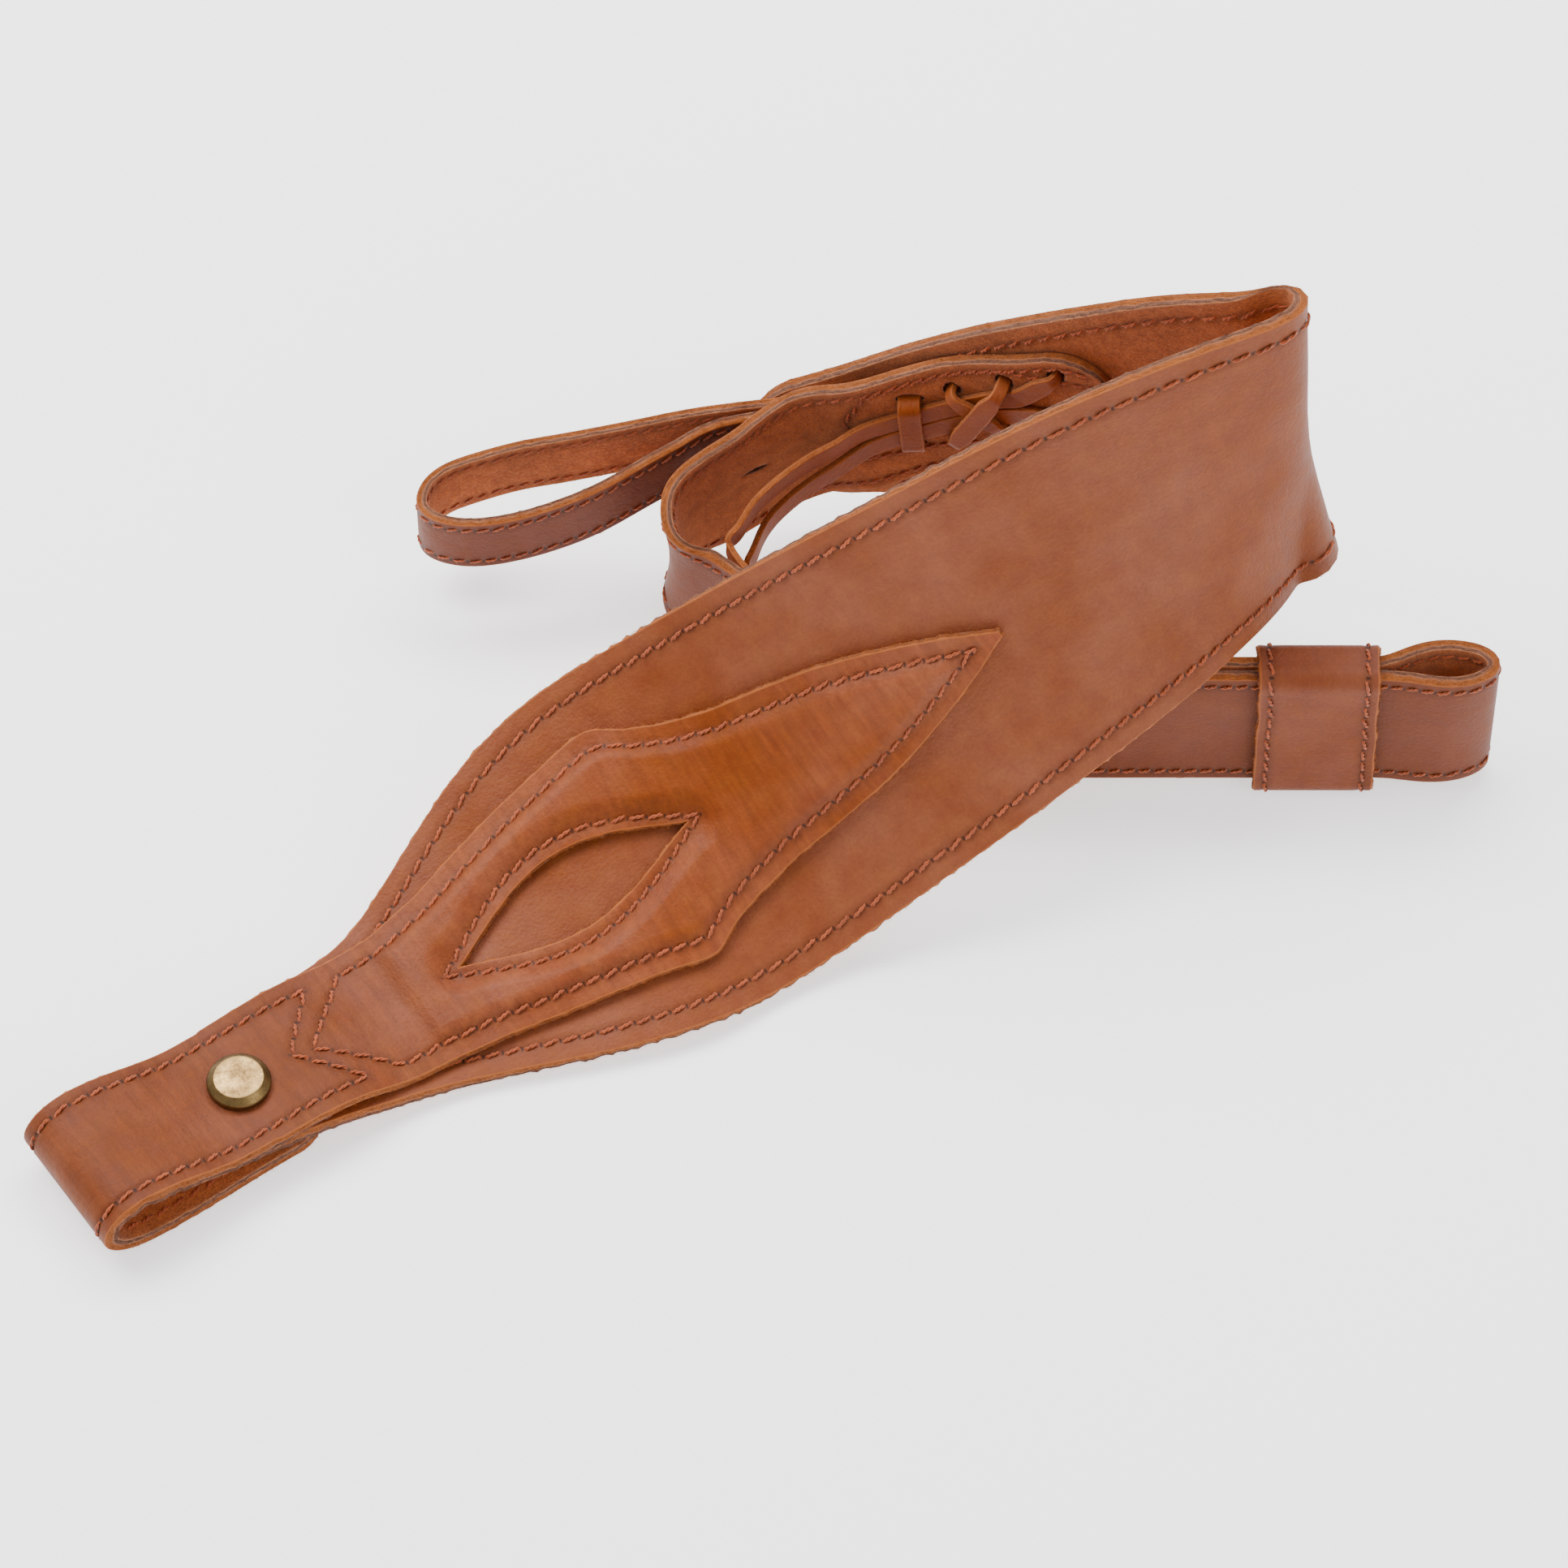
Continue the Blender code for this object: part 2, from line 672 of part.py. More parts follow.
def build_tab(tab, shoulder):
    panel_start = tab.nearest(shoulder.spot(STUD_PLACE, 0, 3.8), 90, tab.length)
    shift = panel_start - STUD_PLACE

    def to_shoulder(place):
        return place - shift

    def half(place):
        if place < panel_start:
            return TAB_HALF
        return panel_half(to_shoulder(place))

    def eye(place):
        return eye_half(to_shoulder(place))

    def lift(place, across):
        return puff(to_shoulder(np.asarray(place)), across)

    def top(place, across):
        return TAB_LEATHER + lift(place, across)

    end = PANEL[-1][0] + shift
    loop_places = with_ends(list(tab.cuts(0, panel_start)), 10.0, 0.0)
    panel_places = list(np.linspace(panel_start, end, 52)[1:])
    marks = [EYE_START, EYE_START + 1.2, *PANEL_CORNER, EYE_END - 1.2, EYE_END]
    marks = [mark + shift for mark in marks]
    places = sorted(set(np.round(loop_places + panel_places + marks, 4)))
    width = rounded(half, 0, end + 50, 10.0, 0)
    leather = leaf("front_tab_leather", tab, places, width, eye, lift, top, "smooth_leather", columns=5)

    lining_end = 24 + shift
    lining_places = [p for p in places if p < lining_end - 1] + [lining_end]

    def lining_half(place):
        return min(width(place), TAB_HALF)

    low = flat(-GAP - TAB_LINING)
    high = flat(-GAP)
    lining = leaf("front_tab_lining", tab, lining_places, lining_half, lambda p: 0, low, high, "suede_lining")

    def pad_outer(place):
        return max(half(place) - PAD_INSET, 1.0)

    def pad_inner(place):
        past = max(EYE_START - to_shoulder(place), to_shoulder(place) - EYE_END, 0)
        if past >= PAD_INSET:
            return 0.0
        return eye(place) + float(np.sqrt(PAD_INSET**2 - past**2))

    def pad_top(place, across):
        return np.maximum(lift(place, across) - PAD_EASE, PAD_LEAST)

    pad_ends = (PUFF_START + PAD_INSET + shift, PUFF_END - PAD_INSET + shift)
    pad_places = [p for p in places if pad_ends[0] < p < pad_ends[1]]
    marks = [EYE_START - PAD_INSET + shift, EYE_END + PAD_INSET + shift, *pad_ends]
    pad_places = sorted(set(pad_places + marks))
    layer = (flat(0.0), pad_top, "foam_padding", 2)
    padding = leaf("front_tab_padding", tab, pad_places, pad_outer, pad_inner, *layer)
    return leather, lining, padding


def build_stud(centre, level):
    """A screw stud: the cap with its hollow post, and the slotted screw that closes it from below."""
    cap_low = level + CAP_LIFT
    cap = rod("stud_cap", centre, STUD_CAP_RADIUS, cap_low, cap_low + STUD_CAP_THICK, "antique_brass", 56)
    bevel = cap.modifiers.new("rim", "BEVEL")
    bevel.width = CAP_CHAMFER * MM
    bevel.segments = 2
    bevel.limit_method = "ANGLE"
    post = rod("post_core", centre, POST_RADIUS, POST_FOOT, cap_low + POST_OVERLAP, "antique_brass")
    join(cap, post)
    bore = hide_cutter(rod("post_bore", centre, POST_BORE, POST_FOOT - 1, cap_low - BORE_END, "antique_brass"))
    cut(cap, [bore])
    head_top = SCREW_FOOT + SCREW_HEAD_THICK
    screw = rod("stud_screw", centre, SCREW_HEAD_RADIUS, SCREW_FOOT, head_top, "antique_brass", 48)
    shank = rod("screw_shank", centre, SCREW_SHANK, head_top - POST_OVERLAP, SHANK_TOP, "antique_brass")
    join(screw, shank)
    shape = bmesh.new()
    size = Matrix.Diagonal((2.4 * SCREW_HEAD_RADIUS * MM, SLOT_WIDE * MM, 2 * SLOT_DEEP * MM, 1))
    here = Matrix.Translation(world((centre[0], centre[1], SCREW_FOOT)))
    bmesh.ops.create_cube(shape, size=1.0, matrix=here @ size)
    slot = hide_cutter(finish_mesh("screw_slot", shape, "antique_brass"))
    cut(screw, [slot])
    return cap, screw


def build_keeper(tail):
    """A sewn band round both plies of the tail strap, free to slide along them."""
    left = tail.nearest((KEEPER_LEFT, RUN_SIDE, RUN_HEIGHT), 150, tail.length * 0.62)
    frame = frame_at(tail, left)
    middle = tail.spot(left, 0, -PLY_STEP / 2)
    depth = (PLY_STEP + 2 * TAIL_LEATHER) / 2 + KEEPER_EASE
    tall = TAIL_HALF + KEEPER_EASE
    length = KEEPER_RIGHT - KEEPER_LEFT
    return (
        keeper_band(
            "keeper_lining",
            frame,
            middle,
            tall,
            depth,
            KEEPER_LINING,
            KEEPER_CORNER,
            length,
            "suede_lining",
        ),
        keeper_band(
            "keeper_leather",
            frame,
            middle,
            tall + KEEPER_LINING + GAP,
            depth + KEEPER_LINING + GAP,
            KEEPER_LEATHER,
            KEEPER_CORNER + KEEPER_LINING + GAP,
            length,
            "smooth_leather",
        ),
    )


def ring_points(tall, depth, corner):
    """A rounded rectangle as (across, out) pairs."""
    points = []
    for sign_a, sign_b, first in ((1, 1, 0), (-1, 1, 90), (-1, -1, 180), (1, -1, 270)):
        for k in range(5):
            angle = np.radians(first + 90 * k / 4)
            across = sign_a * (tall - corner) + corner * np.cos(angle)
            out = sign_b * (depth - corner) + corner * np.sin(angle)
            points.append((across, out))
    return points


def keeper_band(name, frame, middle, tall, depth, thick, corner, length, slot):
    along, across, out = frame
    shape = bmesh.new()
    rings = []
    for a in (0.0, length):
        for more in (0.0, thick):
            ring = []
            for b, c in ring_points(tall + more, depth + more, corner + more):
                ring.append(shape.verts.new(world(middle + along * a + across * b + out * c)))
            rings.append(ring)
    inner_left, outer_left, inner_right, outer_right = rings
    count = len(inner_left)
    for k in range(count):
        after = (k + 1) % count
        shape.faces.new((outer_left[k], outer_right[k], outer_right[after], outer_left[after]))
        shape.faces.new((inner_left[after], inner_right[after], inner_right[k], inner_left[k]))
        shape.faces.new((inner_left[k], outer_left[k], outer_left[after], inner_left[after]))
        shape.faces.new((outer_right[k], inner_right[k], inner_right[after], outer_right[after]))
    return finish_mesh(name, shape, slot)


# ---- lacing -------------------------------------------------------------------------------------------------


def frame_at(track, place):
    """Unit directions along, across and outwards."""
    return [unit(track.read(rows, place)) for rows in (track.along, track.across, track.out)]


def quarter_bend(before, after, steps=5):
    """A quarter circle of unit radius as (run, rise) pairs, from one axis to the other."""
    angles = np.linspace(before, after, steps)
    return [(np.cos(a), np.sin(a)) for a in angles]


def squeezed(length, half, foot_start, foot_end):
    """Half width of a strand that narrows where it goes into a hole."""

    def width(place):
        share_start = np.clip((place - foot_start) / 4.0, 0, 1) if foot_start else 1.0
        share_end = np.clip((length - foot_end - place) / 4.0, 0, 1) if foot_end else 1.0
        return SQUEEZED_HALF + (half - SQUEEZED_HALF) * min(share_start, share_end)

    return width


def build_strand(name, tail, start, end, levels, foot, thick, half, side, narrow=True):
    """A staple of leather: out of one hole, straight over the layers, and into the next hole. side is -1 on the
    lined side of the tail strap and 1 on the smooth side of the shoulder strap. levels are the heights of its
    inner face at its two ends, and foot is how far in its legs reach."""
    start = np.array(start, float)
    end = np.array(end, float)
    span = float(np.linalg.norm(end - start))
    inset = thick / 2
    bend = quarter_bend(np.pi, np.pi / 2)
    profile = [(inset, foot), (inset, levels[0] - side * BEND_RADIUS)]
    for run, rise in bend[1:]:
        profile.append((inset + BEND_RADIUS * (1 + run), levels[0] - side * BEND_RADIUS * (1 - rise)))
    for run, rise in bend[:0:-1]:
        profile.append((span - inset - BEND_RADIUS * (1 + run), levels[1] - side * BEND_RADIUS * (1 - rise)))
    profile += [(span - inset, levels[1] - side * BEND_RADIUS), (span - inset, foot)]
    centre = []
    for run, out in profile:
        place, across = start + (end - start) * run / span
        centre.append(tail.spot(place, across, out))
    way = unit(tail.spot(*end) - tail.spot(*start))
    outwards = frame_at(tail, (start[0] + end[0]) / 2)[2]
    across_way = np.cross(outwards, way) * side
    track = Track(np.array(centre), np.tile(across_way, (len(centre), 1)))
    leg = abs(levels[0] - foot)
    width = squeezed(track.length, half, leg, leg) if narrow else lambda place: half
    places = sorted(set(np.round(list(track.place) + [leg + 3.5, track.length - leg - 3.5], 4)))
    return leaf(name, track, places, width, lambda place: 0, flat(0), flat(thick), "lace_leather")


def build_lace(name, tail, inner_end, held_across, free, way, hole):
    """One thong: held between the two plies of the tail strap, round the inside of its curl, under the band and
    the crossed strands, and into its hole."""
    rest = -TAIL_LINING - 2 * GAP
    rows = [tail.spot(inner_end + extra, held_across, rest - lift) for extra, lift in LACE_HOLD]
    rows += [np.array(spot, float) for spot in free]
    rows += [tail.spot(place, across, rest - LACE_LIFT * (place > LACE_LIFT_FROM)) for place, across in way]
    last = np.array(way[-1], float)
    target = np.array(hole, float)
    heading = (target - last) / np.linalg.norm(target - last)
    inset = LACE / 2
    near = target - heading * (inset + BEND_RADIUS)
    rows.append(tail.spot(*near, rest))
    centre = list(spline(rows, 12))
    for run, rise in quarter_bend(np.pi / 2, 0, 6)[1:]:
        spot = near + heading * BEND_RADIUS * run
        centre.append(tail.spot(*spot, rest + BEND_RADIUS * (1 - rise)))
    centre.append(tail.spot(*(target - heading * inset), STRAND_FOOT))
    centre = np.array(centre)
    across = np.tile((0.0, 0.0, 1.0), (len(centre), 1))
    fixed = frame_at(tail, hole[0])[1]
    across[-30:] = fixed
    track = Track(centre, across)
    leg = STRAND_FOOT - rest
    width = squeezed(track.length, LACE_HALF, 0, leg)
    places = list(track.cuts(0, track.length - leg - 2.5, 8.0, 12.0))
    places += [place for place in track.place if place > track.length - leg - 2]
    return leaf(name, track, places, width, lambda place: 0, flat(0), flat(LACE), "lace_leather")


def lacing_cutters(tail):
    """The round lacing holes, and the slots of the small band."""
    rounds = []
    for number, (place, across) in enumerate((HOLE_1, HOLE_2, HOLE_3, HOLE_4, HOLE_5, HOLE_6), 1):
        middle = tail.spot(place, across)
        size = (HOLE_SIZE, HOLE_SIZE)
        rounds.append(oval_cutter(f"lacing_hole_{number}", frame_at(tail, place), middle, size, -3, 10))
    slots = []
    along, across, out = frame_at(tail, (BAND_TOP[0] + BAND_FOOT[0]) / 2)
    way = unit(tail.spot(*BAND_FOOT) - tail.spot(*BAND_TOP))
    frame = (way, np.cross(out, way), out)
    for number, end in enumerate((BAND_TOP, BAND_FOOT), 1):
        slots.append(oval_cutter(f"band_slot_{number}", frame, tail.spot(*end), BAND_SLOT, -3, 3))
    middle = tail.spot(SLIT_PLACE, SLIT_ACROSS)
    slots.append(oval_cutter("tail_slit", frame_at(tail, SLIT_PLACE), middle, SLIT_SIZE, -3, 3))
    return rounds, slots


def build_lacing(tail, inner_end):
    """The two laces, the crossed strands over them, the strands behind the strap, and the band."""
    build_lace("lace_upper", tail, inner_end, UPPER_LACE_ACROSS, UPPER_LACE_FREE, UPPER_LACE_WAY, HOLE_5)
    build_lace("lace_lower", tail, inner_end, LOWER_LACE_ACROSS, LOWER_LACE_FREE, LOWER_LACE_WAY, HOLE_6)
    above_laces = -TAIL_LINING - 3 * GAP - LACE
    above_cross = above_laces - LACE - GAP
    first = (above_laces, above_laces)
    second = (above_cross, above_cross)
    build_strand("lace_cross_under", tail, HOLE_1, HOLE_4, first, STRAND_FOOT, LACE, CROSS_HALF, -1)
    build_strand("lace_cross_over", tail, HOLE_2, HOLE_3, second, STRAND_FOOT, LACE, CROSS_HALF, -1)
    build_strand("lace_band", tail, BAND_TOP, BAND_FOOT, first, STRAND_FOOT, BAND_THICK, BAND_HALF, -1, False)
    behind = -JOIN[0][2] + SHOULDER_LEATHER + 2 * GAP
    upper = (behind, behind + 0.3)
    lower = (behind, behind + 1.4)
    build_strand("lace_back_upper", tail, HOLE_5, HOLE_1, upper, BACK_FOOT, LACE, CROSS_HALF, 1)
    build_strand("lace_back_lower", tail, HOLE_6, HOLE_2, lower, BACK_FOOT, LACE, CROSS_HALF, 1)


# ---- assembly -----------------------------------------------------------------------------------------------


def clear_scene():
    for thing in list(bpy.data.objects):
        bpy.data.objects.remove(thing, do_unlink=True)


def build():
    clear_scene()
    shoulder = shoulder_track()
    tail, inner_end = tail_track(shoulder)
    hand = hand_track(shoulder)
    tab = tab_track(shoulder)
    shoulder_layers = build_shoulder(shoulder)
    tab_leather, tab_lining, _ = build_tab(tab, shoulder)
    tail_layers = pair(
        "tail", tail, 0, tail.length, lambda p: TAIL_HALF, TAIL_LEATHER, TAIL_LINING, TAIL_CORNERS
    )
    pair("hand_loop", hand, 0, hand.length, lambda p: HAND_HALF, HAND_LEATHER, HAND_LINING, (0.0, 0.0))
    build_keeper(tail)
    build_lacing(tail, inner_end)

    stud = shoulder.spot(STUD_PLACE)
    build_stud(stud, float(stud[2]))
    stud_hole = hide_cutter(rod("stud_hole", stud, STUD_HOLE, -5, 25, "smooth_leather"))
    for layer in (tab_leather, tab_lining, *shoulder_layers):
        cut(layer, [stud_hole])
    rounds, slots = lacing_cutters(tail)
    for layer in shoulder_layers:
        cut(layer, rounds)
    for layer in tail_layers:
        cut(layer, rounds + slots)


build()
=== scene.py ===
"""Looks of a leather shoulder strap that lies coiled on a pale surface.

Every strap is rebuilt as a dense sheet along the same route as its solid: smooth leather, napped suede, raw
cut edges with loose fibres, pressed seams and twisted stitches. Lengths are in millimetres until a mesh is
made.
"""

import json
import math

import bpy
import numpy as np
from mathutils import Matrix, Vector
from mathutils.kdtree import KDTree

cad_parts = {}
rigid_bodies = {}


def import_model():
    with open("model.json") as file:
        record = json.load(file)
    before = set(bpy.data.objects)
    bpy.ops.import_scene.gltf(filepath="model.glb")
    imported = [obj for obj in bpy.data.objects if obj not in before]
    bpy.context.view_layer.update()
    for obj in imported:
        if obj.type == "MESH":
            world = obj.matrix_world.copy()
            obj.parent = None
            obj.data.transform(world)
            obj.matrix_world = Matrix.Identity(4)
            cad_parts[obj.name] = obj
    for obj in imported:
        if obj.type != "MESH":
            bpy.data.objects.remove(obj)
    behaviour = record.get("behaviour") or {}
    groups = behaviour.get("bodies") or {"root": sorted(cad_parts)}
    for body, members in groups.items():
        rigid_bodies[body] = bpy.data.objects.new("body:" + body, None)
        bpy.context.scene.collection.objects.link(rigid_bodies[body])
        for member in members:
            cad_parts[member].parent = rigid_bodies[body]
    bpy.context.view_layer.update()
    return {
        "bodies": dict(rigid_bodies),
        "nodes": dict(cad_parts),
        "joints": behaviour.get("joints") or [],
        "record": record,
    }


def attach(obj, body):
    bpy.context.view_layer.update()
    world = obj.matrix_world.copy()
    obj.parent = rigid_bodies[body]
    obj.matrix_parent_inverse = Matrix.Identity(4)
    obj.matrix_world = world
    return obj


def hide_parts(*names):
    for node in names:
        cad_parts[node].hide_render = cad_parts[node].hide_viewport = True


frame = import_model()
MM = 0.001


# ---- sizes and routes of the straps --------------------------------------------------------------

# The middle of the part's foot in the coordinates of the routes below. It becomes the world origin.
ORIGIN = (-3.294, -25.636, 0.2)

# Clear space between neighbouring layers, and the thickness of each layer.
GAP = 0.3
SHOULDER_LEATHER = 2.0
SHOULDER_LINING = 1.2
TAB_LEATHER = 2.0
TAB_LINING = 1.2
PADDING = 2.2
# Where the padded rise starts and ends along the shoulder strap, the flat rim by the seams, and the slope.
PUFF_START = 52
PUFF_END = 214
PUFF_RIM = 2.5
PUFF_RISE = 6.0
TAIL_LEATHER = 1.8
TAIL_LINING = 1.0
HAND_LEATHER = 1.4
HAND_LINING = 0.8
LACE = 1.5
# A lining is drawn up to this height, just under its leather.
LINING_TOP = -0.02

LEAST_HOLE = 0.05

# Half widths.
TAB_HALF = 17.3
TAIL_HALF = 18.0
HAND_HALF = 8.0
LACE_HALF = 2.5

# Each station of a strap: x, y, z, the lean of its cross-section in degrees (0 lies flat, 90 stands on edge),
# and its half width. The curve is the inner face of the leather layer.
SHOULDER = [
    (-133, -98.5, 7.1, 0, 15),
    (-124, -92.5, 7.1, 0, 16),
    (-112, -84, 7.1, 0, 18.5),
    (-99, -75, 5.4, 3, 20.5),
    (-84, -65, 5.5, 7, 24.5),
    (-62, -50, 10.5, 12.5, 35.5),
    (-40, -36, 17, 18.5, 43),
    (-18, -24, 23, 29, 44),
    (8, -15, 39, 44, 43),
    (40, -6.5, 62, 54, 42),
    (74, 7, 80, 63, 42),
    (104, 23.5, 87, 75, 42),
    (118.5, 38.5, 85.5, 84, 41.5),
    (99.5, 51.5, 77, 86, 40),
    (61, 63.5, 57, 88, 34),
    (25, 75.5, 38.5, 90, 23),
    (-5, 80, 25.5, 91, 19),
]

# Corner radii at the clamped tongue and at the sewn end.
SHOULDER_CORNERS = (6.0, 17.0)

# How the start of the tail strap lies on the shoulder strap: place along it, place across it, and how far its
# leather's inner face stands off on the lined side.
JOIN = [
    (354, 9.5, -3.9),
    (365, 9.5, -3.9),
    (379, 9.5, -4.0),
    (394, 9.5, -4.1),
    (408, 9.5, -6.6),
    (422, 9.5, -9.7),
    (435, 9.5, -10.2),
]
TAIL_CURL = [
    (-1.7, 67.0, 37, 90),
    (-9.2, 63.9, 33.9, 90),
    (-16.7, 60.3, 30.7, 90),
    (-22.8, 55.8, 27.5, 90),
    (-25.3, 49.2, 24.3, 90),
    (-22.8, 43.3, 21.7, 90),
    (-16.2, 38.3, 20, 89),
    (-6, 29.9, 19.2, 88),
    (9, 18.2, 19.9, 87),
    (31, 6.2, 21.2, 86),
    (48, 2.6, 21.6, 86),
    (64, 2.0, 21.7, 86),
    (84, 2.0, 21.7, 86),
    (104, 2.0, 21.7, 86),
    (124, 2.0, 21.7, 86),
    (139, 2.0, 21.7, 86),
]
END_LOOP = [
    (146.5, 1.2, 21.7, 86),
    (153, 0.5, 21.7, 87),
    (159, 1.4, 21.7, 88),
    (163, 3.7, 21.7, 89),
    (164, 6.4, 21.7, 91),
    (161.6, 8.9, 21.7, 93),
    (156, 10.2, 21.7, 94),
    (149, 9.6, 21.7, 94),
    (142.5, 6.9, 21.7, 94),
    (137, 5.5, 21.7, 94),
]
# The straight run of the tail strap: its side position and its height.
RUN_SIDE = 2.0
RUN_HEIGHT = 21.7
PLY_STEP = 3.4
INNER_PLY_STOPS = (128, 116, 100, 84, 68, 54, 42)
# The inner ply ends this far before the front run begins.
INNER_END_BACK = 47

HAND_LOOP = [
    (-17, 76.0, 37.3, 90),
    (-32.5, 74.2, 35, 90),
    (-50, 72.6, 31.5, 90),
    (-61.7, 71.9, 29, 90),
    (-71, 70.4, 27, 90),
    (-79, 68.6, 24.6, 90),
    (-83.8, 65.4, 23, 90),
    (-85.5, 61, 22.6, 90),
    (-83.6, 56.6, 23, 90),
    (-78.4, 53.9, 23.5, 90),
    (-71.7, 52.8, 24.5, 90),
    (-64.2, 53.4, 25.5, 90),
    (-55.5, 55.2, 27, 90),
    (-44, 58.6, 30, 90),
    (-33, 63.9, 33, 90),
    (-24.2, 68.2, 35.5, 90),
    (-14.8, 72.3, 37.3, 90),
]
HAND_ROOT_ACROSS = 11
HAND_FAR_OFF = -3.55
HAND_NEAR_OFF = -6.05
HAND_FAR_STOPS = (423, 431, 439)
HAND_NEAR_STOPS = (443, 435, 427)

# The front loop's profile: distance along the strap from the stud, height of the leather's inner face.
STUD_PLACE = 10.8
FRONT_LOOP = [
    (15, 3.8),
    (6, 3.8),
    (-4, 3.7),
    (-15, 3.0),
    (-27, 2.6),
    (-36.5, 3.2),
    (-42.8, 6.0),
    (-45.2, 10.4),
    (-42.6, 14.8),
    (-36, 16.9),
    (-26, 15.3),
    (-17, 12.6),
    (-10, 11.1),
    (-5, 10.9),
]
TAB_STAND_OFF = [(0, 3.8), (22, 3.8), (34, 2.4), (400, 2.3)]

# Outline of the decorative panel: place along the shoulder strap, half width.
PANEL = [
    (0, 17.3),
    (30, 18.2),
    (58, 18.6),
    (72, 20.5),
    (84, 23.2),
    (98, 26),
    (110, 28),
    (121, 30.2),
    (125, 30.2),
    (131, 26.4),
    (140, 22.8),
    (152, 19.8),
    (166, 18),
    (180, 15.8),
    (191, 13),
    (201, 9.8),
    (212, 5.6),
    (220, 1.6),
    (222, 0.5),
]
PANEL_CORNER = (121, 127)
EYE_START = 71
EYE_END = 134
EYE_HALF = 9.4

# Lacing holes, as place along the tail strap and place across it.
HOLE_1 = (40.0, 10.0)
HOLE_2 = (46.0, -5.0)
HOLE_3 = (25.0, 11.5)
HOLE_4 = (31.0, -3.6)
HOLE_5 = (10.5, 12.5)
HOLE_6 = (16.5, 0.0)
HOLE_SIZE = 4.6
# The strands are squeezed to this half width inside the holes, and end this far inside the layers.
SQUEEZED_HALF = 1.5
STRAND_FOOT = 1.4
BACK_FOOT = 3.4
BEND_RADIUS = 1.3
CROSS_HALF = 2.4
# Each lace on its way over the tail strap to its hole, as place along it and place across it.
UPPER_LACE_WAY = [(66, 4.7), (54.5, 4.6), (43, 4.9), (34, 5.7), (28, 6.6), (23, 7.0), (17, 9.6)]
LOWER_LACE_WAY = [(66, -1.0), (54.5, -1.0), (43, -0.6), (34, 0.1), (28, 1.0), (23, 0.8)]
# The free part of each lace, inside the curl of the tail strap.
UPPER_LACE_FREE = [
    (-13.3, 43.2, 33.2),
    (-11.6, 47.4, 35.6),
    (-8.5, 51.4, 38.2),
    (-3.4, 55.9, 41.2),
    (5.0, 60.6, 45.2),
    (12.0, 62.6, 48.8),
]
LOWER_LACE_FREE = [
    (-9.3, 42.6, 25.2),
    (-8.0, 46.6, 27.8),
    (-5.8, 50.8, 30.4),
    (-1.6, 55.2, 33.8),
    (5.6, 59.4, 38.0),
    (12.6, 62.0, 42.0),
]
UPPER_LACE_ACROSS = 12.4
# How the laces start between the plies: how far past the inner ply's end, and how far off the outer ply.
LACE_HOLD = [(11, 0.25), (5, 0.3), (-1, 0.7)]
LACE_LIFT = 0.9
LACE_LIFT_FROM = 60
LOWER_LACE_ACROSS = 5.6
# The band over the laces: its two ends in tail strap places, its half width and thickness, and its slots.
BAND_TOP = (51.4, 10.0)
BAND_FOOT = (57.6, -6.0)
BAND_HALF = 2.6
BAND_THICK = 1.4
BAND_SLOT = (7.0, 2.9)
SLIT_PLACE = 96.0
SLIT_ACROSS = 3.0
SLIT_SIZE = (7.0, 1.3)

KEEPER_LEFT = 109.6
KEEPER_RIGHT = 137.8
KEEPER_LEATHER = 1.4
KEEPER_LINING = 0.8
KEEPER_CORNER = 1.2
KEEPER_EASE = 0.6
# The lining is this much thinner than its room, which keeps it clear of the tail's frayed edge.
KEEPER_SLACK = 0.25
# The keeper has worn the tail's loose fibres off as far as it slides, and a little beyond.
KEEPER_TRAVEL = 45.0
KEEPER_WEAR = 3.0

STUD_CAP_RADIUS = 7.4
STUD_CAP_THICK = 3.0
POST_RADIUS = 2.5
POST_LOW = 2.2
STUD_HOLE = 2.8
# How far the cap's lower face is above the shoulder strap's leather.
CAP_LIFT = 6.1
# The cap's profile as distance in from its radius, and height from its top.
CAP_PROFILE = [
    (0.0, -1.75),
    (0.1, -1.5),
    (0.3, -1.3),
    (1.45, -0.28),
    (1.65, -0.14),
    (1.95, -0.06),
    (4.4, -0.015),
]
CAP_SIDES = 128
# The rings of the profile up to this one are in the darker rim.
CROWN_RING = 9


# ---- curves --------------------------------------------------------------------------------------


def spline(points, per_span):
    """Natural cubic curve through the points, with per_span samples to each span."""
    points = np.asarray(points, float)
    count = len(points)
    left = np.zeros((count, count))
    right = np.zeros_like(points)
    left[0, 0] = left[-1, -1] = 1.0
    for i in range(1, count - 1):
        left[i, i - 1 : i + 2] = (1.0, 4.0, 1.0)
        right[i] = 6 * (points[i + 1] - 2 * points[i] + points[i - 1])
    bend = np.linalg.solve(left, right)
    u = np.linspace(0, count - 1, (count - 1) * per_span + 1)
    k = np.minimum(u.astype(int), count - 2)
    t = (u - k)[:, None]
    ends = (1 - t) * points[k] + t * points[k + 1]
    return ends + ((1 - t) ** 3 - (1 - t)) * bend[k] / 6 + (t**3 - t) * bend[k + 1] / 6


def unit(rows):
    return rows / np.linalg.norm(rows, axis=-1)[..., None]


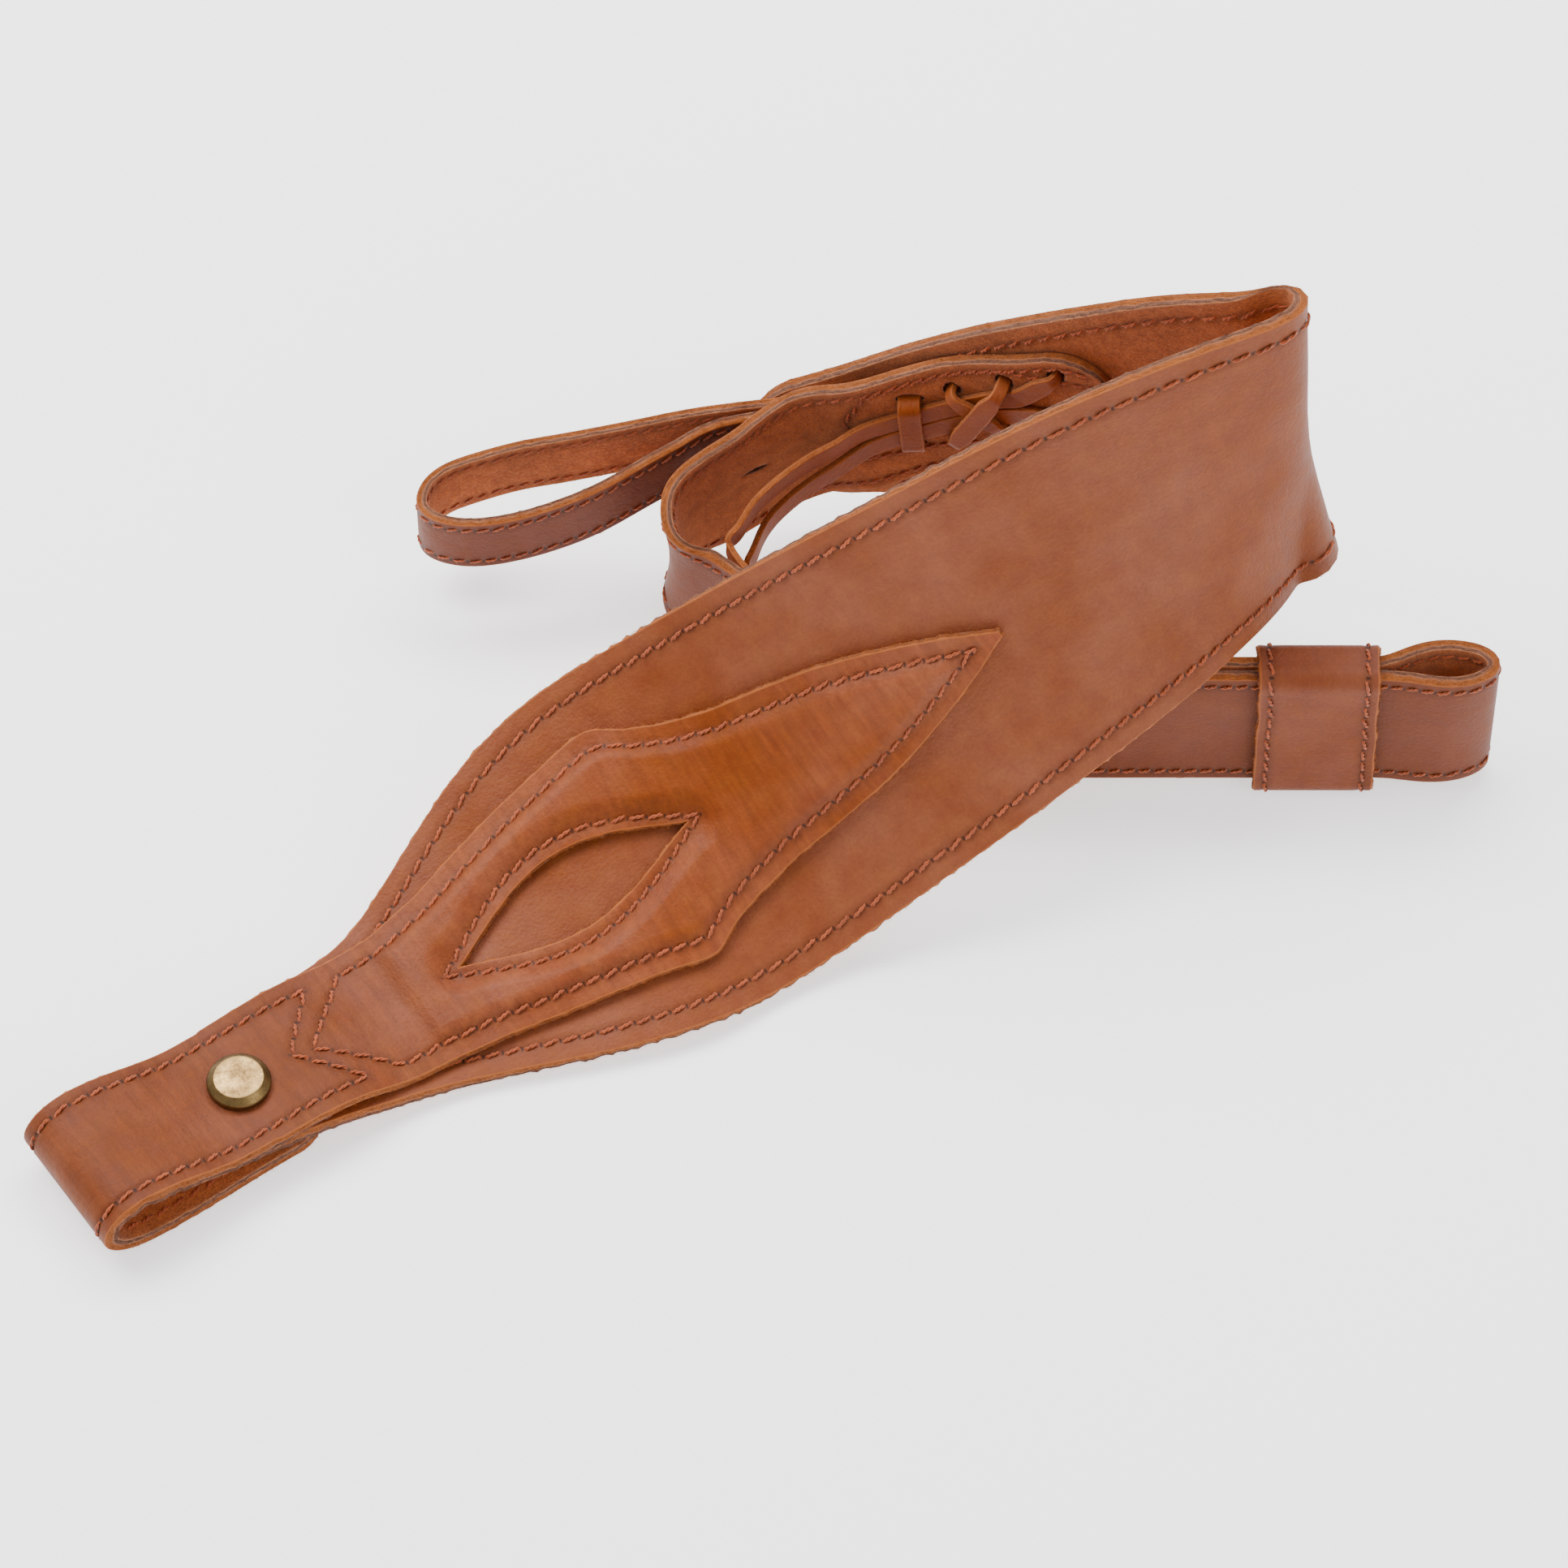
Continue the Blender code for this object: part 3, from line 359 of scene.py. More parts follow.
class Track:
    """A centre line with a direction across and a direction outwards at every sample."""

    def __init__(self, centre, across, half=None):
        self.centre = np.asarray(centre, float)
        self.half = np.ones(len(self.centre)) if half is None else half
        self.along = unit(np.gradient(self.centre, axis=0))
        lean = (across * self.along).sum(1)[:, None] * self.along
        self.across = unit(across - lean)
        self.out = np.cross(self.along, self.across)
        steps = np.linalg.norm(np.diff(self.centre, axis=0), axis=1)
        self.place = np.concatenate([[0], np.cumsum(steps)])
        self.length = self.place[-1]

    def read(self, rows, place):
        return np.stack([np.interp(place, self.place, rows[:, k]) for k in range(3)], -1)

    def spot(self, place, across=0.0, out=0.0):
        """The point at this place along the track, this far across it and this far outwards."""
        place = np.asarray(place, float)
        across = np.asarray(across, float)[..., None]
        out = np.asarray(out, float)[..., None]
        base = self.read(self.centre, place)
        return base + across * unit(self.read(self.across, place)) + out * unit(self.read(self.out, place))

    def half_at(self, place):
        return np.interp(place, self.place, self.half)

    def lean_at(self, place):
        """The lean in degrees of the cross-section at this place."""
        along = unit(self.read(self.along, place))
        across = unit(self.read(self.across, place))
        level = unit(np.array((-along[1], along[0], 0)))
        upright = np.cross(along, level)
        return float(np.degrees(np.arctan2(across @ upright, across @ level)))

    def nearest(self, point, low, high):
        span = np.linspace(low, high, 400)
        gap = np.linalg.norm(self.read(self.centre, span) - np.asarray(point, float), axis=1)
        return span[gap.argmin()]


def lean_directions(centre, lean):
    """The direction across a strap from its lean: 0 is level, 90 points up."""
    along = unit(np.gradient(centre, axis=0))
    level = unit(np.stack([-along[:, 1], along[:, 0], 0 * along[:, 0]], -1))
    upright = np.cross(along, level)
    angle = np.radians(lean)[:, None]
    return np.cos(angle) * level + np.sin(angle) * upright


def lean_track(stations, per_span=24):
    rows = spline(stations, per_span)
    centre = rows[:, :3]
    half = rows[:, 4] if rows.shape[1] > 4 else None
    return Track(centre, lean_directions(centre, rows[:, 3]), half)


def eased(table, place):
    """Reads a table of (place, value) with soft corners."""
    table = np.asarray(table, float)
    shifts = np.linspace(-2.0, 2.0, 9)
    return np.mean([np.interp(np.asarray(place) + s, table[:, 0], table[:, 1]) for s in shifts], axis=0)


# ---- the routes ----------------------------------------------------------------------------------


def shoulder_track():
    return lean_track(SHOULDER)


def tail_track(shoulder):
    """Starts on the shoulder strap, curls round, runs to the end loop and comes back as the inner ply."""
    start = [tuple(shoulder.spot(s, w, off)) + (shoulder.lean_at(s),) for s, w, off in JOIN]
    outer = start + TAIL_CURL
    first = lean_track([row + (0,) for row in outer])
    inner = []
    for x in INNER_PLY_STOPS:
        beside = first.nearest((x, RUN_SIDE, RUN_HEIGHT), 150, first.length)
        inner.append((x, first.spot(beside, 0, -PLY_STEP)[1], RUN_HEIGHT, 94))
    curl_start = first.nearest(TAIL_CURL[9][:3], 100, first.length)
    for back, lift, lean in ((2, 0.1, 93.5), (20, 0.8, 92.5), (34, 2.0, 91.5), (INNER_END_BACK, 2.6, 91)):
        inner.append(tuple(first.spot(curl_start - back, 0, -PLY_STEP - lift)) + (lean,))
    return lean_track([row + (0,) for row in outer + END_LOOP + inner]), curl_start - INNER_END_BACK


def hand_track(shoulder):
    far = []
    for s in HAND_FAR_STOPS:
        far.append(tuple(shoulder.spot(s, HAND_ROOT_ACROSS, HAND_FAR_OFF)) + (shoulder.lean_at(s),))
    near = []
    for s in HAND_NEAR_STOPS:
        near.append(tuple(shoulder.spot(s, HAND_ROOT_ACROSS, HAND_NEAR_OFF)) + (180 - shoulder.lean_at(s),))
    return lean_track([row + (0,) for row in far + HAND_LOOP + near])


def tab_track(shoulder):
    """The front loop's plies, then the panel that lies on the shoulder strap."""
    stud = shoulder.spot(STUD_PLACE)
    heading = unit(shoulder.read(shoulder.along, STUD_PLACE) * (1, 1, 0))
    across = shoulder.read(shoulder.across, STUD_PLACE)
    loop = spline(FRONT_LOOP + [(0, 10.9)], 20)[:-14]
    centre = [stud * (1, 1, 0) + heading * a + np.array((0, 0, z)) for a, z in loop]
    sides = [across] * len(centre)
    for s in np.arange(STUD_PLACE, shoulder.length - 200, 1.5):
        centre.append(shoulder.spot(s, 0, np.interp(s - STUD_PLACE, *zip(*TAB_STAND_OFF))))
        sides.append(unit(shoulder.read(shoulder.across, s)))
    return Track(np.array(centre), np.array(sides))


# ---- noise ---------------------------------------------------------------------------------------


def ripple(place, across, size, seed):
    """Smooth noise between about -1 and 1 over a strap, with humps about this many millimetres across."""
    rng = np.random.default_rng(seed)
    total = np.zeros(np.shape(place))
    for _ in range(7):
        angle = rng.uniform(0, 2 * np.pi)
        pitch = 2 * np.pi / (size * rng.uniform(0.7, 1.9))
        total += np.sin(pitch * (np.cos(angle) * place + np.sin(angle) * across) + rng.uniform(0, 2 * np.pi))
    return total / 3.2


def world(spots):
    """Route coordinates as metres from the world origin."""
    return (np.asarray(spots) - ORIGIN) * MM


# ---- sheets --------------------------------------------------------------------------------------


# Distances from a rim at which a sheet has points, the radius of its rounding, and the largest share of the
# thickness that it takes.
EDGE_STEPS = (0.0, 0.05, 0.13, 0.3, 0.8, 1.5)
EDGE_ROUND = 0.22
MOST_ROUND = 0.45
# The groove that a seam presses, and the distance beyond which seams and rims no longer count.
SEAM_DEEP = 0.34
SEAM_WIDE = 0.85
FAR = 9.0
# The rings of a sheet's raw rim, how uneven it is, and how far it bulges.
WALL_RINGS = 5
MOST_FRAY = 0.15
WALL_BULGE = 0.16
# Keeps each sheet's noise apart from the others'.
SEED_STEP = 47.0
# Loose fibres: points along each, its sides, its radius, and the stretch without any.
FIBRE_RINGS = 4
FIBRE_SIDES = 3
FIBRE_RADIUS = 0.05
NOT_WORN = (FAR, FAR)


def side_steps(hole, edge, count, edge_steps):
    """Distances from the middle for one row of points: fine near the rims and even between them."""
    span = edge - hole
    scale = min(1.0, span / (4.0 * edge_steps[-1]))
    rim = np.array(edge_steps) * scale
    inner = hole + rim
    outer = edge - rim[::-1]
    middle = np.linspace(inner[-1], outer[0], count + 2)[1:-1]
    return np.concatenate([inner, middle, outer])


def grid(places, outer, inner, spacing, edge_steps):
    """Rows of points from side to side, and their quads. Where inner is 0 both sides share their middle."""
    widest = max(outer(p) - inner(p) for p in places)
    count = max(2, int(widest / spacing))
    spots = []
    left_rows = []
    right_rows = []
    for place in places:
        hole = inner(place)
        hole = hole if hole > LEAST_HOLE else 0.0
        steps = side_steps(hole, outer(place), count, edge_steps)
        first = len(spots)
        spots += [(place, step) for step in steps]
        left = np.arange(first, first + len(steps))
        first = len(spots)
        spots += [(place, -step) for step in steps]
        right = np.arange(first, first + len(steps))
        if hole == 0.0:
            right[0] = left[0]
        left_rows.append(left)
        right_rows.append(right)
    left = np.array(left_rows)
    right = np.array(right_rows)
    quads = np.concatenate(
        [
            np.stack([left[:-1, :-1], left[1:, :-1], left[1:, 1:], left[:-1, 1:]], -1).reshape(-1, 4),
            np.stack([right[:-1, 1:], right[1:, 1:], right[1:, :-1], right[:-1, :-1]], -1).reshape(-1, 4),
        ]
    )
    return np.array(spots), quads


def punch(spots, quads, holes):
    """Takes the quads inside each oval hole away and draws the rim left round it onto the oval."""
    spots = spots.copy()
    for place, across, half_along, half_across, turn in holes:
        cos, sin = np.cos(turn), np.sin(turn)
        shift = spots - (place, across)
        flat_u = (cos * shift[:, 0] + sin * shift[:, 1]) / half_along
        flat_v = (-sin * shift[:, 0] + cos * shift[:, 1]) / half_across
        reach = np.hypot(flat_u, flat_v)
        middle = np.hypot(flat_u[quads].mean(1), flat_v[quads].mean(1))
        gone = middle < 1.0
        if not gone.any():
            continue
        rim = np.intersect1d(quads[gone], quads[~gone])
        pull = 1.0 / np.maximum(reach[rim], 1e-6)
        u = flat_u[rim] * pull * half_along
        v = flat_v[rim] * pull * half_across
        spots[rim] = np.stack([place + cos * u - sin * v, across + sin * u + cos * v], -1)
        quads = quads[~gone]
    return spots, quads


def without_loose(spots, quads):
    """The points that some quad uses, and the quads numbered anew."""
    used = np.zeros(len(spots), bool)
    used[quads] = True
    renumber = np.cumsum(used) - 1
    return spots[used], renumber[quads]


def rim_edges(quads, count):
    """Directed edges that belong to one quad only."""
    ends = np.concatenate([quads[:, [k, (k + 1) % 4]] for k in range(4)])
    ends = ends[ends[:, 0] != ends[:, 1]]
    key = ends[:, 0].astype(np.int64) * count + ends[:, 1]
    back = ends[:, 1].astype(np.int64) * count + ends[:, 0]
    return ends[~np.isin(key, back)]


def tree_of(points):
    tree = KDTree(len(points))
    for number, (x, y) in enumerate(points):
        tree.insert((x, y, 0.0), number)
    tree.balance()
    return tree


def resampled(line, step):
    """The polyline with a point at each step, and the distance of each along it."""
    line = np.asarray(line, float)
    total = np.concatenate([[0], np.cumsum(np.linalg.norm(np.diff(line, axis=0), axis=1))])
    run = np.linspace(0, total[-1], max(2, int(total[-1] / step) + 1))
    return np.stack([np.interp(run, total, line[:, k]) for k in (0, 1)], -1), run


def seam_field(spots, seams):
    """For every point, its phase in stitches along the nearest seam and its distance from it."""
    phase = np.zeros(len(spots))
    away = np.full(len(spots), FAR)
    if not seams:
        return phase, away
    points = []
    phases = []
    for line, pitch in seams:
        dense, run = resampled(line, 0.3)
        points.append(dense)
        phases.append(run / stitch_pitch(run[-1], pitch))
    points = np.concatenate(points)
    phases = np.concatenate(phases)
    tree = tree_of(points)
    for number, (x, y) in enumerate(spots):
        _, found, distance = tree.find((x, y, 0.0))
        phase[number] = phases[found]
        away[number] = min(distance, FAR)
    return phase, away


def stitch_pitch(length, pitch):
    """The pitch that fits a whole number of stitches into the seam."""
    return length / max(1, round(length / pitch))


def rim_field(spots, edges):
    """For every point, how far it is from the rim."""
    a = spots[edges[:, 0]]
    b = spots[edges[:, 1]]
    dense = np.concatenate([a + (b - a) * t for t in (0.0, 0.33, 0.66)])
    tree = tree_of(dense)
    away = np.empty(len(spots))
    for number, (x, y) in enumerate(spots):
        away[number] = min(tree.find((x, y, 0.0))[2], FAR)
    return away


def rim_outwards(spots, edges):
    """For every point of the rim, the direction away from the sheet."""
    away = np.zeros((len(spots), 2))
    run = spots[edges[:, 1]] - spots[edges[:, 0]]
    out = np.stack([run[:, 1], -run[:, 0]], -1)
    np.add.at(away, edges[:, 0], out)
    np.add.at(away, edges[:, 1], out)
    length = np.linalg.norm(away, axis=1)
    return away / np.maximum(length, 1e-9)[:, None]


def edge_drop(away, depth):
    """How far a face falls off by the rim, as a quarter circle."""
    inside = np.clip(depth - away, 0, depth)
    return depth - np.sqrt(depth**2 - inside**2)


def groove(phase, away, deep):
    """The thread presses a groove, deepest at the needle holes."""
    share = 0.7 - 0.3 * np.cos(2 * np.pi * phase)
    return deep * share * np.exp(-((away / SEAM_WIDE) ** 2))


def add_object(name, data):
    made = bpy.data.objects.new(name, data)
    bpy.context.scene.collection.objects.link(made)
    return made


def raw_mesh(name, points, faces, slots, layer, fields):
    """A smooth mesh with a material number for each face and a vector field for each name in fields."""
    mesh = bpy.data.meshes.new(name)
    mesh.from_pydata(world(points).tolist(), [], faces)
    for slot in slots:
        mesh.materials.append(slot)
    mesh.polygons.foreach_set("material_index", layer)
    mesh.polygons.foreach_set("use_smooth", [True] * len(faces))
    for title, rows in fields.items():
        made = mesh.attributes.new(title, "FLOAT_VECTOR", "POINT")
        made.data.foreach_set("vector", np.ascontiguousarray(rows, np.float32).ravel())
    mesh.update()
    return add_object(name, mesh)


def sheet(name, track, places, outer, inner, low, high, slots, seed, **more):
    """A dense sheet along a track with rounded raw rims, pressed seams and slight unevenness.

    low and high give the offsets of its two faces. slots are the materials of its upper face, its rim and its
    lower face.
    """
    spots, quads = grid(places, outer, inner, more.get("spacing", 1.3), more.get("edge_steps", EDGE_STEPS))
    spots, quads = without_loose(*punch(spots, quads, more.get("holes", ())))
    count = len(spots)
    edges = rim_edges(quads, count)
    phase, away = seam_field(spots, more.get("seams", ()))
    rim = rim_field(spots, edges)
    outwards = rim_outwards(spots, edges)
    fray = more.get("fray", MOST_FRAY)
    place, across = spots[:, 0], spots[:, 1]
    jitter = fray * (ripple(place, across, 1.7, seed + 5) + ripple(place, across, 5.0, seed + 6))
    wave = more.get("wave", 0.0) * ripple(place, across, WAVE_SIZE, seed + 1)
    press = groove(phase, away, more.get("deep", SEAM_DEEP))
    thick_low = low(place, across)
    thick_high = high(place, across)
    rounding = min(EDGE_ROUND, MOST_ROUND * float((thick_high - thick_low).min()))
    drop = edge_drop(rim, rounding)
    bottom_off = thick_low + wave + drop + press * more.get("under", 1.0)
    top_off = thick_high + wave - drop - press
    shifted = spots + outwards * jitter[:, None]
    top = track.spot(shifted[:, 0], shifted[:, 1], top_off)
    bottom = track.spot(shifted[:, 0], shifted[:, 1], bottom_off)
    rim_ids = np.unique(edges)
    at_rim = np.full(count, -1)
    at_rim[rim_ids] = np.arange(len(rim_ids))
    points = [top, bottom]
    heights = [top_off, bottom_off]
    flats = [shifted, shifted]
    rings = [None]
    for k in range(1, WALL_RINGS):
        share = k / WALL_RINGS
        fuzz = 1.3 * fray * ripple(place[rim_ids] * 1.0 + 17 * k, across[rim_ids] + 31 * k, 1.3, seed + 7 + k)
        bulge = WALL_BULGE * np.sin(np.pi * share)
        flat_spots = shifted[rim_ids] + outwards[rim_ids] * (fuzz + bulge)[:, None]
        level = top_off[rim_ids] * (1 - share) + bottom_off[rim_ids] * share
        points.append(track.spot(flat_spots[:, 0], flat_spots[:, 1], level))
        heights.append(level)
        flats.append(flat_spots)
        rings.append(2 * count + (k - 1) * len(rim_ids))
    faces = quads.tolist() + (quads[:, ::-1] + count).tolist()
    layer = [0] * len(quads) + [2] * len(quads)
    ids_a = at_rim[edges[:, 0]]
    ids_b = at_rim[edges[:, 1]]
    upper_a, upper_b = edges[:, 0], edges[:, 1]
    for k in range(1, WALL_RINGS + 1):
        if k < WALL_RINGS:
            lower_a, lower_b = rings[k] + ids_a, rings[k] + ids_b
        else:
            lower_a, lower_b = edges[:, 0] + count, edges[:, 1] + count
        faces += np.stack([upper_b, upper_a, lower_a, lower_b], -1).tolist()
        layer += [1] * len(edges)
        upper_a, upper_b = lower_a, lower_b
    faces = [tuple(dict.fromkeys(face)) for face in faces]
    flats = np.concatenate(flats)
    field = np.concatenate([flats, (np.concatenate(heights) + seed * SEED_STEP)[:, None]], 1)
    wall_phase = phase[rim_ids]
    seam_rows = np.stack([phase, away, rim], -1)
    wall_rows = np.stack([wall_phase, away[rim_ids], 0 * wall_phase], -1)
    seam = np.concatenate([seam_rows, seam_rows] + [wall_rows] * (WALL_RINGS - 1))
    made = raw_mesh(name, np.concatenate(points), faces, slots, layer, {"strap_uv": field, "seam": seam})
    if more.get("fibres"):
        hairs = (shifted, edges, outwards, bottom_off, top_off)
        worn = more.get("worn", NOT_WORN)
        return made, add_fibres(name + "_fibres", track, hairs, more["fibres"], slots[1], seed, worn)
    return made, None


def tube_points(centre, first, second, reach, sides):
    """Points round each point of the centre lines, in the plane of two unit directions."""
    ring = []
    for k in range(sides):
        angle = 2 * np.pi * k / sides
        ring.append(centre + reach * (np.cos(angle) * first + np.sin(angle) * second))
    return np.stack(ring, 2).reshape(-1, 3)


def tube_quads(count, rings, sides):
    """The quads of this many open tubes whose points follow one another."""
    base = np.arange(count)[:, None, None] * rings * sides
    ring = np.arange(rings - 1)[None, :, None] * sides
    k = np.arange(sides)[None, None, :]
    first = base + ring + k
    second = base + ring + (k + 1) % sides
    return np.stack([first, second, second + sides, first + sides], -1).reshape(-1, 4)


def add_fibres(name, track, rim, per_mm, material, seed, worn):
    """Short loose fibres that stand out of a raw rim, but not between the two x values of worn."""
    spots, edges, outwards, low, high = rim
    rng = np.random.default_rng(seed + 90)
    start, end = edges[:, 0], edges[:, 1]
    run = spots[end] - spots[start]
    length = np.linalg.norm(run, axis=1)
    count = int(length.sum() * per_mm)
    pick = rng.choice(len(edges), count, p=length / length.sum())
    t = rng.random((count, 1))
    root = spots[start[pick]] + run[pick] * t
    away = outwards[start[pick]] * (1 - t) + outwards[end[pick]] * t
    beside = run[pick] / np.maximum(length[pick], 1e-6)[:, None]
    share = rng.uniform(0.08, 0.92, count)
    level = low[start[pick]] * (1 - share) + high[start[pick]] * share
    reach = np.clip(rng.gamma(2.0, 0.17, count), 0.12, 0.85)
    skew = rng.normal(0, 0.7, count)
    lift = rng.normal(0, 0.6, count)
    rings = []
    for step in np.linspace(0, 1, FIBRE_RINGS):
        flat_spot = root + away * (reach * step)[:, None] + beside * (skew * reach * step**2)[:, None]
        rings.append(track.spot(flat_spot[:, 0], flat_spot[:, 1], level + lift * reach * step**2))
    centre = np.stack(rings, 1)
    along = unit(np.gradient(centre, axis=1))
    first = unit(np.cross(along, unit(rng.normal(0, 1, (count, 1, 3)))))
    second = np.cross(along, first)
    fat = (FIBRE_RADIUS * (1 - 0.7 * np.linspace(0, 1, FIBRE_RINGS)))[None, :, None]
    kept = (centre[:, 0, 0] < worn[0]) | (centre[:, 0, 0] > worn[1])
    points = tube_points(centre[kept], first[kept], second[kept], fat, FIBRE_SIDES)
    faces = tube_quads(int(kept.sum()), FIBRE_RINGS, FIBRE_SIDES)
    flats = np.concatenate([root, (level + seed * SEED_STEP)[:, None]], 1)[kept]
    fields = {
        "strap_uv": np.repeat(flats, FIBRE_RINGS * FIBRE_SIDES, axis=0),
        "seam": np.tile((0.0, FAR, 0.0), (len(points), 1)),
    }
    return raw_mesh(name, points, faces.tolist(), [material], [0] * len(faces), fields)


def even_places(start, end, step, start_corner=0.0, end_corner=0.0):
    """Places for rows, closer together at the two ends and over rounded corners."""
    rows = list(np.linspace(start, end, int((end - start) / step) + 2))
    for corner, origin, way in ((start_corner, start, 1), (end_corner, end, -1)):
        for near in EDGE_STEPS[1:]:
            rows.append(origin + way * near)
        if corner:
            for share in np.linspace(0, 1, 22)[1:]:
                rows.append(origin + way * corner * (1 - np.cos(share * np.pi / 2)))
    rows = np.unique(np.round(rows, 3))
    keep = [rows[0]]
    for row in rows[1:-1]:
        if row - keep[-1] > 0.045:
            keep.append(row)
    return np.array(keep + [rows[-1]])


def flat(value):
    return lambda place, across: np.full(np.shape(place), float(value))


def rounded(half, start, end, start_corner, end_corner):
    """Half width with its corners rounded off at both ends."""

    def width(place):
        full = float(half(place))
        for distance, corner in ((place - start, start_corner), (end - place, end_corner)):
            if corner and distance < corner:
                rise = np.sqrt(max(corner**2 - (corner - distance) ** 2, 0.0))
                full = min(full, float(half(place)) - corner + rise)
        return max(full, 0.4)

    return width


def steady(value):
    return lambda place: value


no_hole = steady(0.0)


# ---- stitches ------------------------------------------------------------------------------------


THREAD_SIDES = 6
THREAD_RINGS = 13
# How much of its step a stitch covers, the mean and spread of its slant, how steeply its ends dive into their
# holes, and how far ahead and behind its direction is read.
STITCH_SHARE = 0.84
STITCH_SLANT = (0.24, 0.06)
STITCH_DIVE = 3.1
AHEAD = 0.6
# The half turns of a stitch's two strands, and their offset and radius as shares of the thread's radius.
STRAND_TWIST = 1.35
STRAND_OFF = 0.62
STRAND_FAT = 0.78


def stitch_lines(rng, line, pitch, side):
    """Where each stitch of a seam runs, a little aslant, as places along the track and across it."""
    dense, run = resampled(line, 0.25)
    step = stitch_pitch(run[-1], pitch)
    middles = np.arange(0.5, run[-1] / step) * step
    t = np.linspace(-1, 1, THREAD_RINGS)
    total = len(middles)
    slant = rng.normal(*STITCH_SLANT, total)[:, None]
    reach = step * STITCH_SHARE * 0.5 * rng.uniform(0.93, 1.05, total)[:, None]
    at = middles[:, None] + t[None] * reach

    def read(column, shift=0.0):
        return np.interp(at + shift, run, dense[:, column])

    ahead_place = read(0, AHEAD) - read(0, -AHEAD)
    ahead_across = read(1, AHEAD) - read(1, -AHEAD)
    size = np.hypot(ahead_place, ahead_across) + 1e-9
    wander = slant * t[None] * 1.8 * side + rng.normal(0, 0.05, total)[:, None]
    return read(0) + -ahead_across / size * wander, read(1) + ahead_place / size * wander


def stitches(name, track, seams, level, side, material, radius=0.33, seed=3, sink=0.16):
    """Stitches of two twisted strands along the seams.

    They are on the upper face where side is 1 and on the lower where it is -1. level gives its offset.
    """
    all_points = []
    all_faces = []
    count = 0
    rng = np.random.default_rng(seed)
    t = np.linspace(-1, 1, THREAD_RINGS)
    arch = 1 - np.abs(t[None]) ** 5 * STITCH_DIVE
    fat = radius * (1 - 0.25 * np.abs(t[None, :, None]) ** 6)
    for line, pitch in seams:
        place, across = stitch_lines(rng, line, pitch, side)
        total = len(place)
        height = level(place, across) + side * (radius * arch - sink)
        centre = track.spot(place.ravel(), across.ravel(), height.ravel()).reshape(total, THREAD_RINGS, 3)
        along = unit(np.gradient(centre, axis=1))
        upwards = unit(track.read(track.out, place.ravel())).reshape(total, THREAD_RINGS, 3) * side
        sideways = unit(np.cross(along, upwards))
        upwards = np.cross(sideways, along)
        turns = rng.uniform(0, 2 * np.pi, total)[:, None] + t[None] * np.pi * STRAND_TWIST
        for swing in (turns, turns + np.pi):
            off = np.cos(swing)[..., None] * sideways + np.sin(swing)[..., None] * upwards
            middle = centre + STRAND_OFF * fat * off
            all_points.append(tube_points(middle, sideways, upwards, fat * STRAND_FAT, THREAD_SIDES))
            all_faces.append(tube_quads(total, THREAD_RINGS, THREAD_SIDES) + count)
            count += total * THREAD_RINGS * THREAD_SIDES
    faces = np.concatenate(all_faces)
    return raw_mesh(name, np.concatenate(all_points), faces.tolist(), [material], [0] * len(faces), {})


# ---- materials -----------------------------------------------------------------------------------


# Nearly all values of a noise texture lie between these.
NOISE_MIDDLE = (0.3, 0.7)
# Leather where its dye has worn off at the rim, and the sewing thread.
WORN_TONE = (0.36, 0.098, 0.02)
THREAD_TONE = (0.33, 0.062, 0.013)


class Graph:
    """Builds one node material."""

    def __init__(self, name):
        self.material = bpy.data.materials.new(name)
        self.material.use_nodes = True
        self.tree = self.material.node_tree
        self.shader = self.tree.nodes["Principled BSDF"]

    def put(self, socket, value):
        if isinstance(value, bpy.types.NodeSocket):
            self.tree.links.new(value, socket)
        else:
            socket.default_value = value

    def add(self, kind, inputs=None, out=0, **settings):
        node = self.tree.nodes.new(kind)
        for key, value in settings.items():
            setattr(node, key, value)
        for key, value in (inputs or {}).items():
            self.put(node.inputs[key], value)
        return node.outputs[out]

    def math(self, operation, a, b=0.0, c=0.0):
        return self.add("ShaderNodeMath", {0: a, 1: b, 2: c}, operation=operation)

    def times(self, first, *rest):
        """All the values multiplied."""
        for value in rest:
            first = self.math("MULTIPLY", first, value)
        return first

    def attribute(self, name):
        return self.add("ShaderNodeAttribute", out="Vector", attribute_name=name)

    def stretched(self, vector, scale):
        return self.add("ShaderNodeVectorMath", {0: vector, 1: scale}, operation="MULTIPLY")

    def noise(self, vector, scale, detail=3.0, rough=0.55):
        inputs = {"Vector": vector, "Scale": scale, "Detail": detail, "Roughness": rough}
        return self.add("ShaderNodeTexNoise", inputs)

    def fit(self, value, low, high, to_low=0.0, to_high=1.0):
        inputs = {0: value, 1: low, 2: high, 3: to_low, 4: to_high}
        return self.add("ShaderNodeMapRange", inputs)

    def spread(self, noise, to_low, to_high):
        """The middle of a noise, where nearly all of its values are, mapped onto a range."""
        return self.fit(noise, *NOISE_MIDDLE, to_low, to_high)

    def mix(self, share, a, b):
        node = self.tree.nodes.new("ShaderNodeMix")
        node.data_type = "RGBA"
        self.put(node.inputs[0], share)
        self.put(node.inputs[6], a)
        self.put(node.inputs[7], b)
        return node.outputs[2]

    def shade(self, colour, value, saturation=1.0, hue=0.5):
        inputs = {"Hue": hue, "Saturation": saturation, "Value": value, "Color": colour}
        return self.add("ShaderNodeHueSaturation", inputs)

    def bump(self, height, distance, normal=None, strength=1.0):
        inputs = {"Height": height, "Distance": distance, "Strength": strength}
        if normal is not None:
            inputs["Normal"] = normal
        return self.add("ShaderNodeBump", inputs)

    def set(self, **values):
        for key, value in values.items():
            self.put(self.shader.inputs[key.replace("_", " ")], value)
        return self.material


def tone(red, green, blue):
    return (red, green, blue, 1.0)


def split(graph, vector):
    node = graph.tree.nodes.new("ShaderNodeSeparateXYZ")
    graph.tree.links.new(vector, node.inputs[0])
    return node.outputs


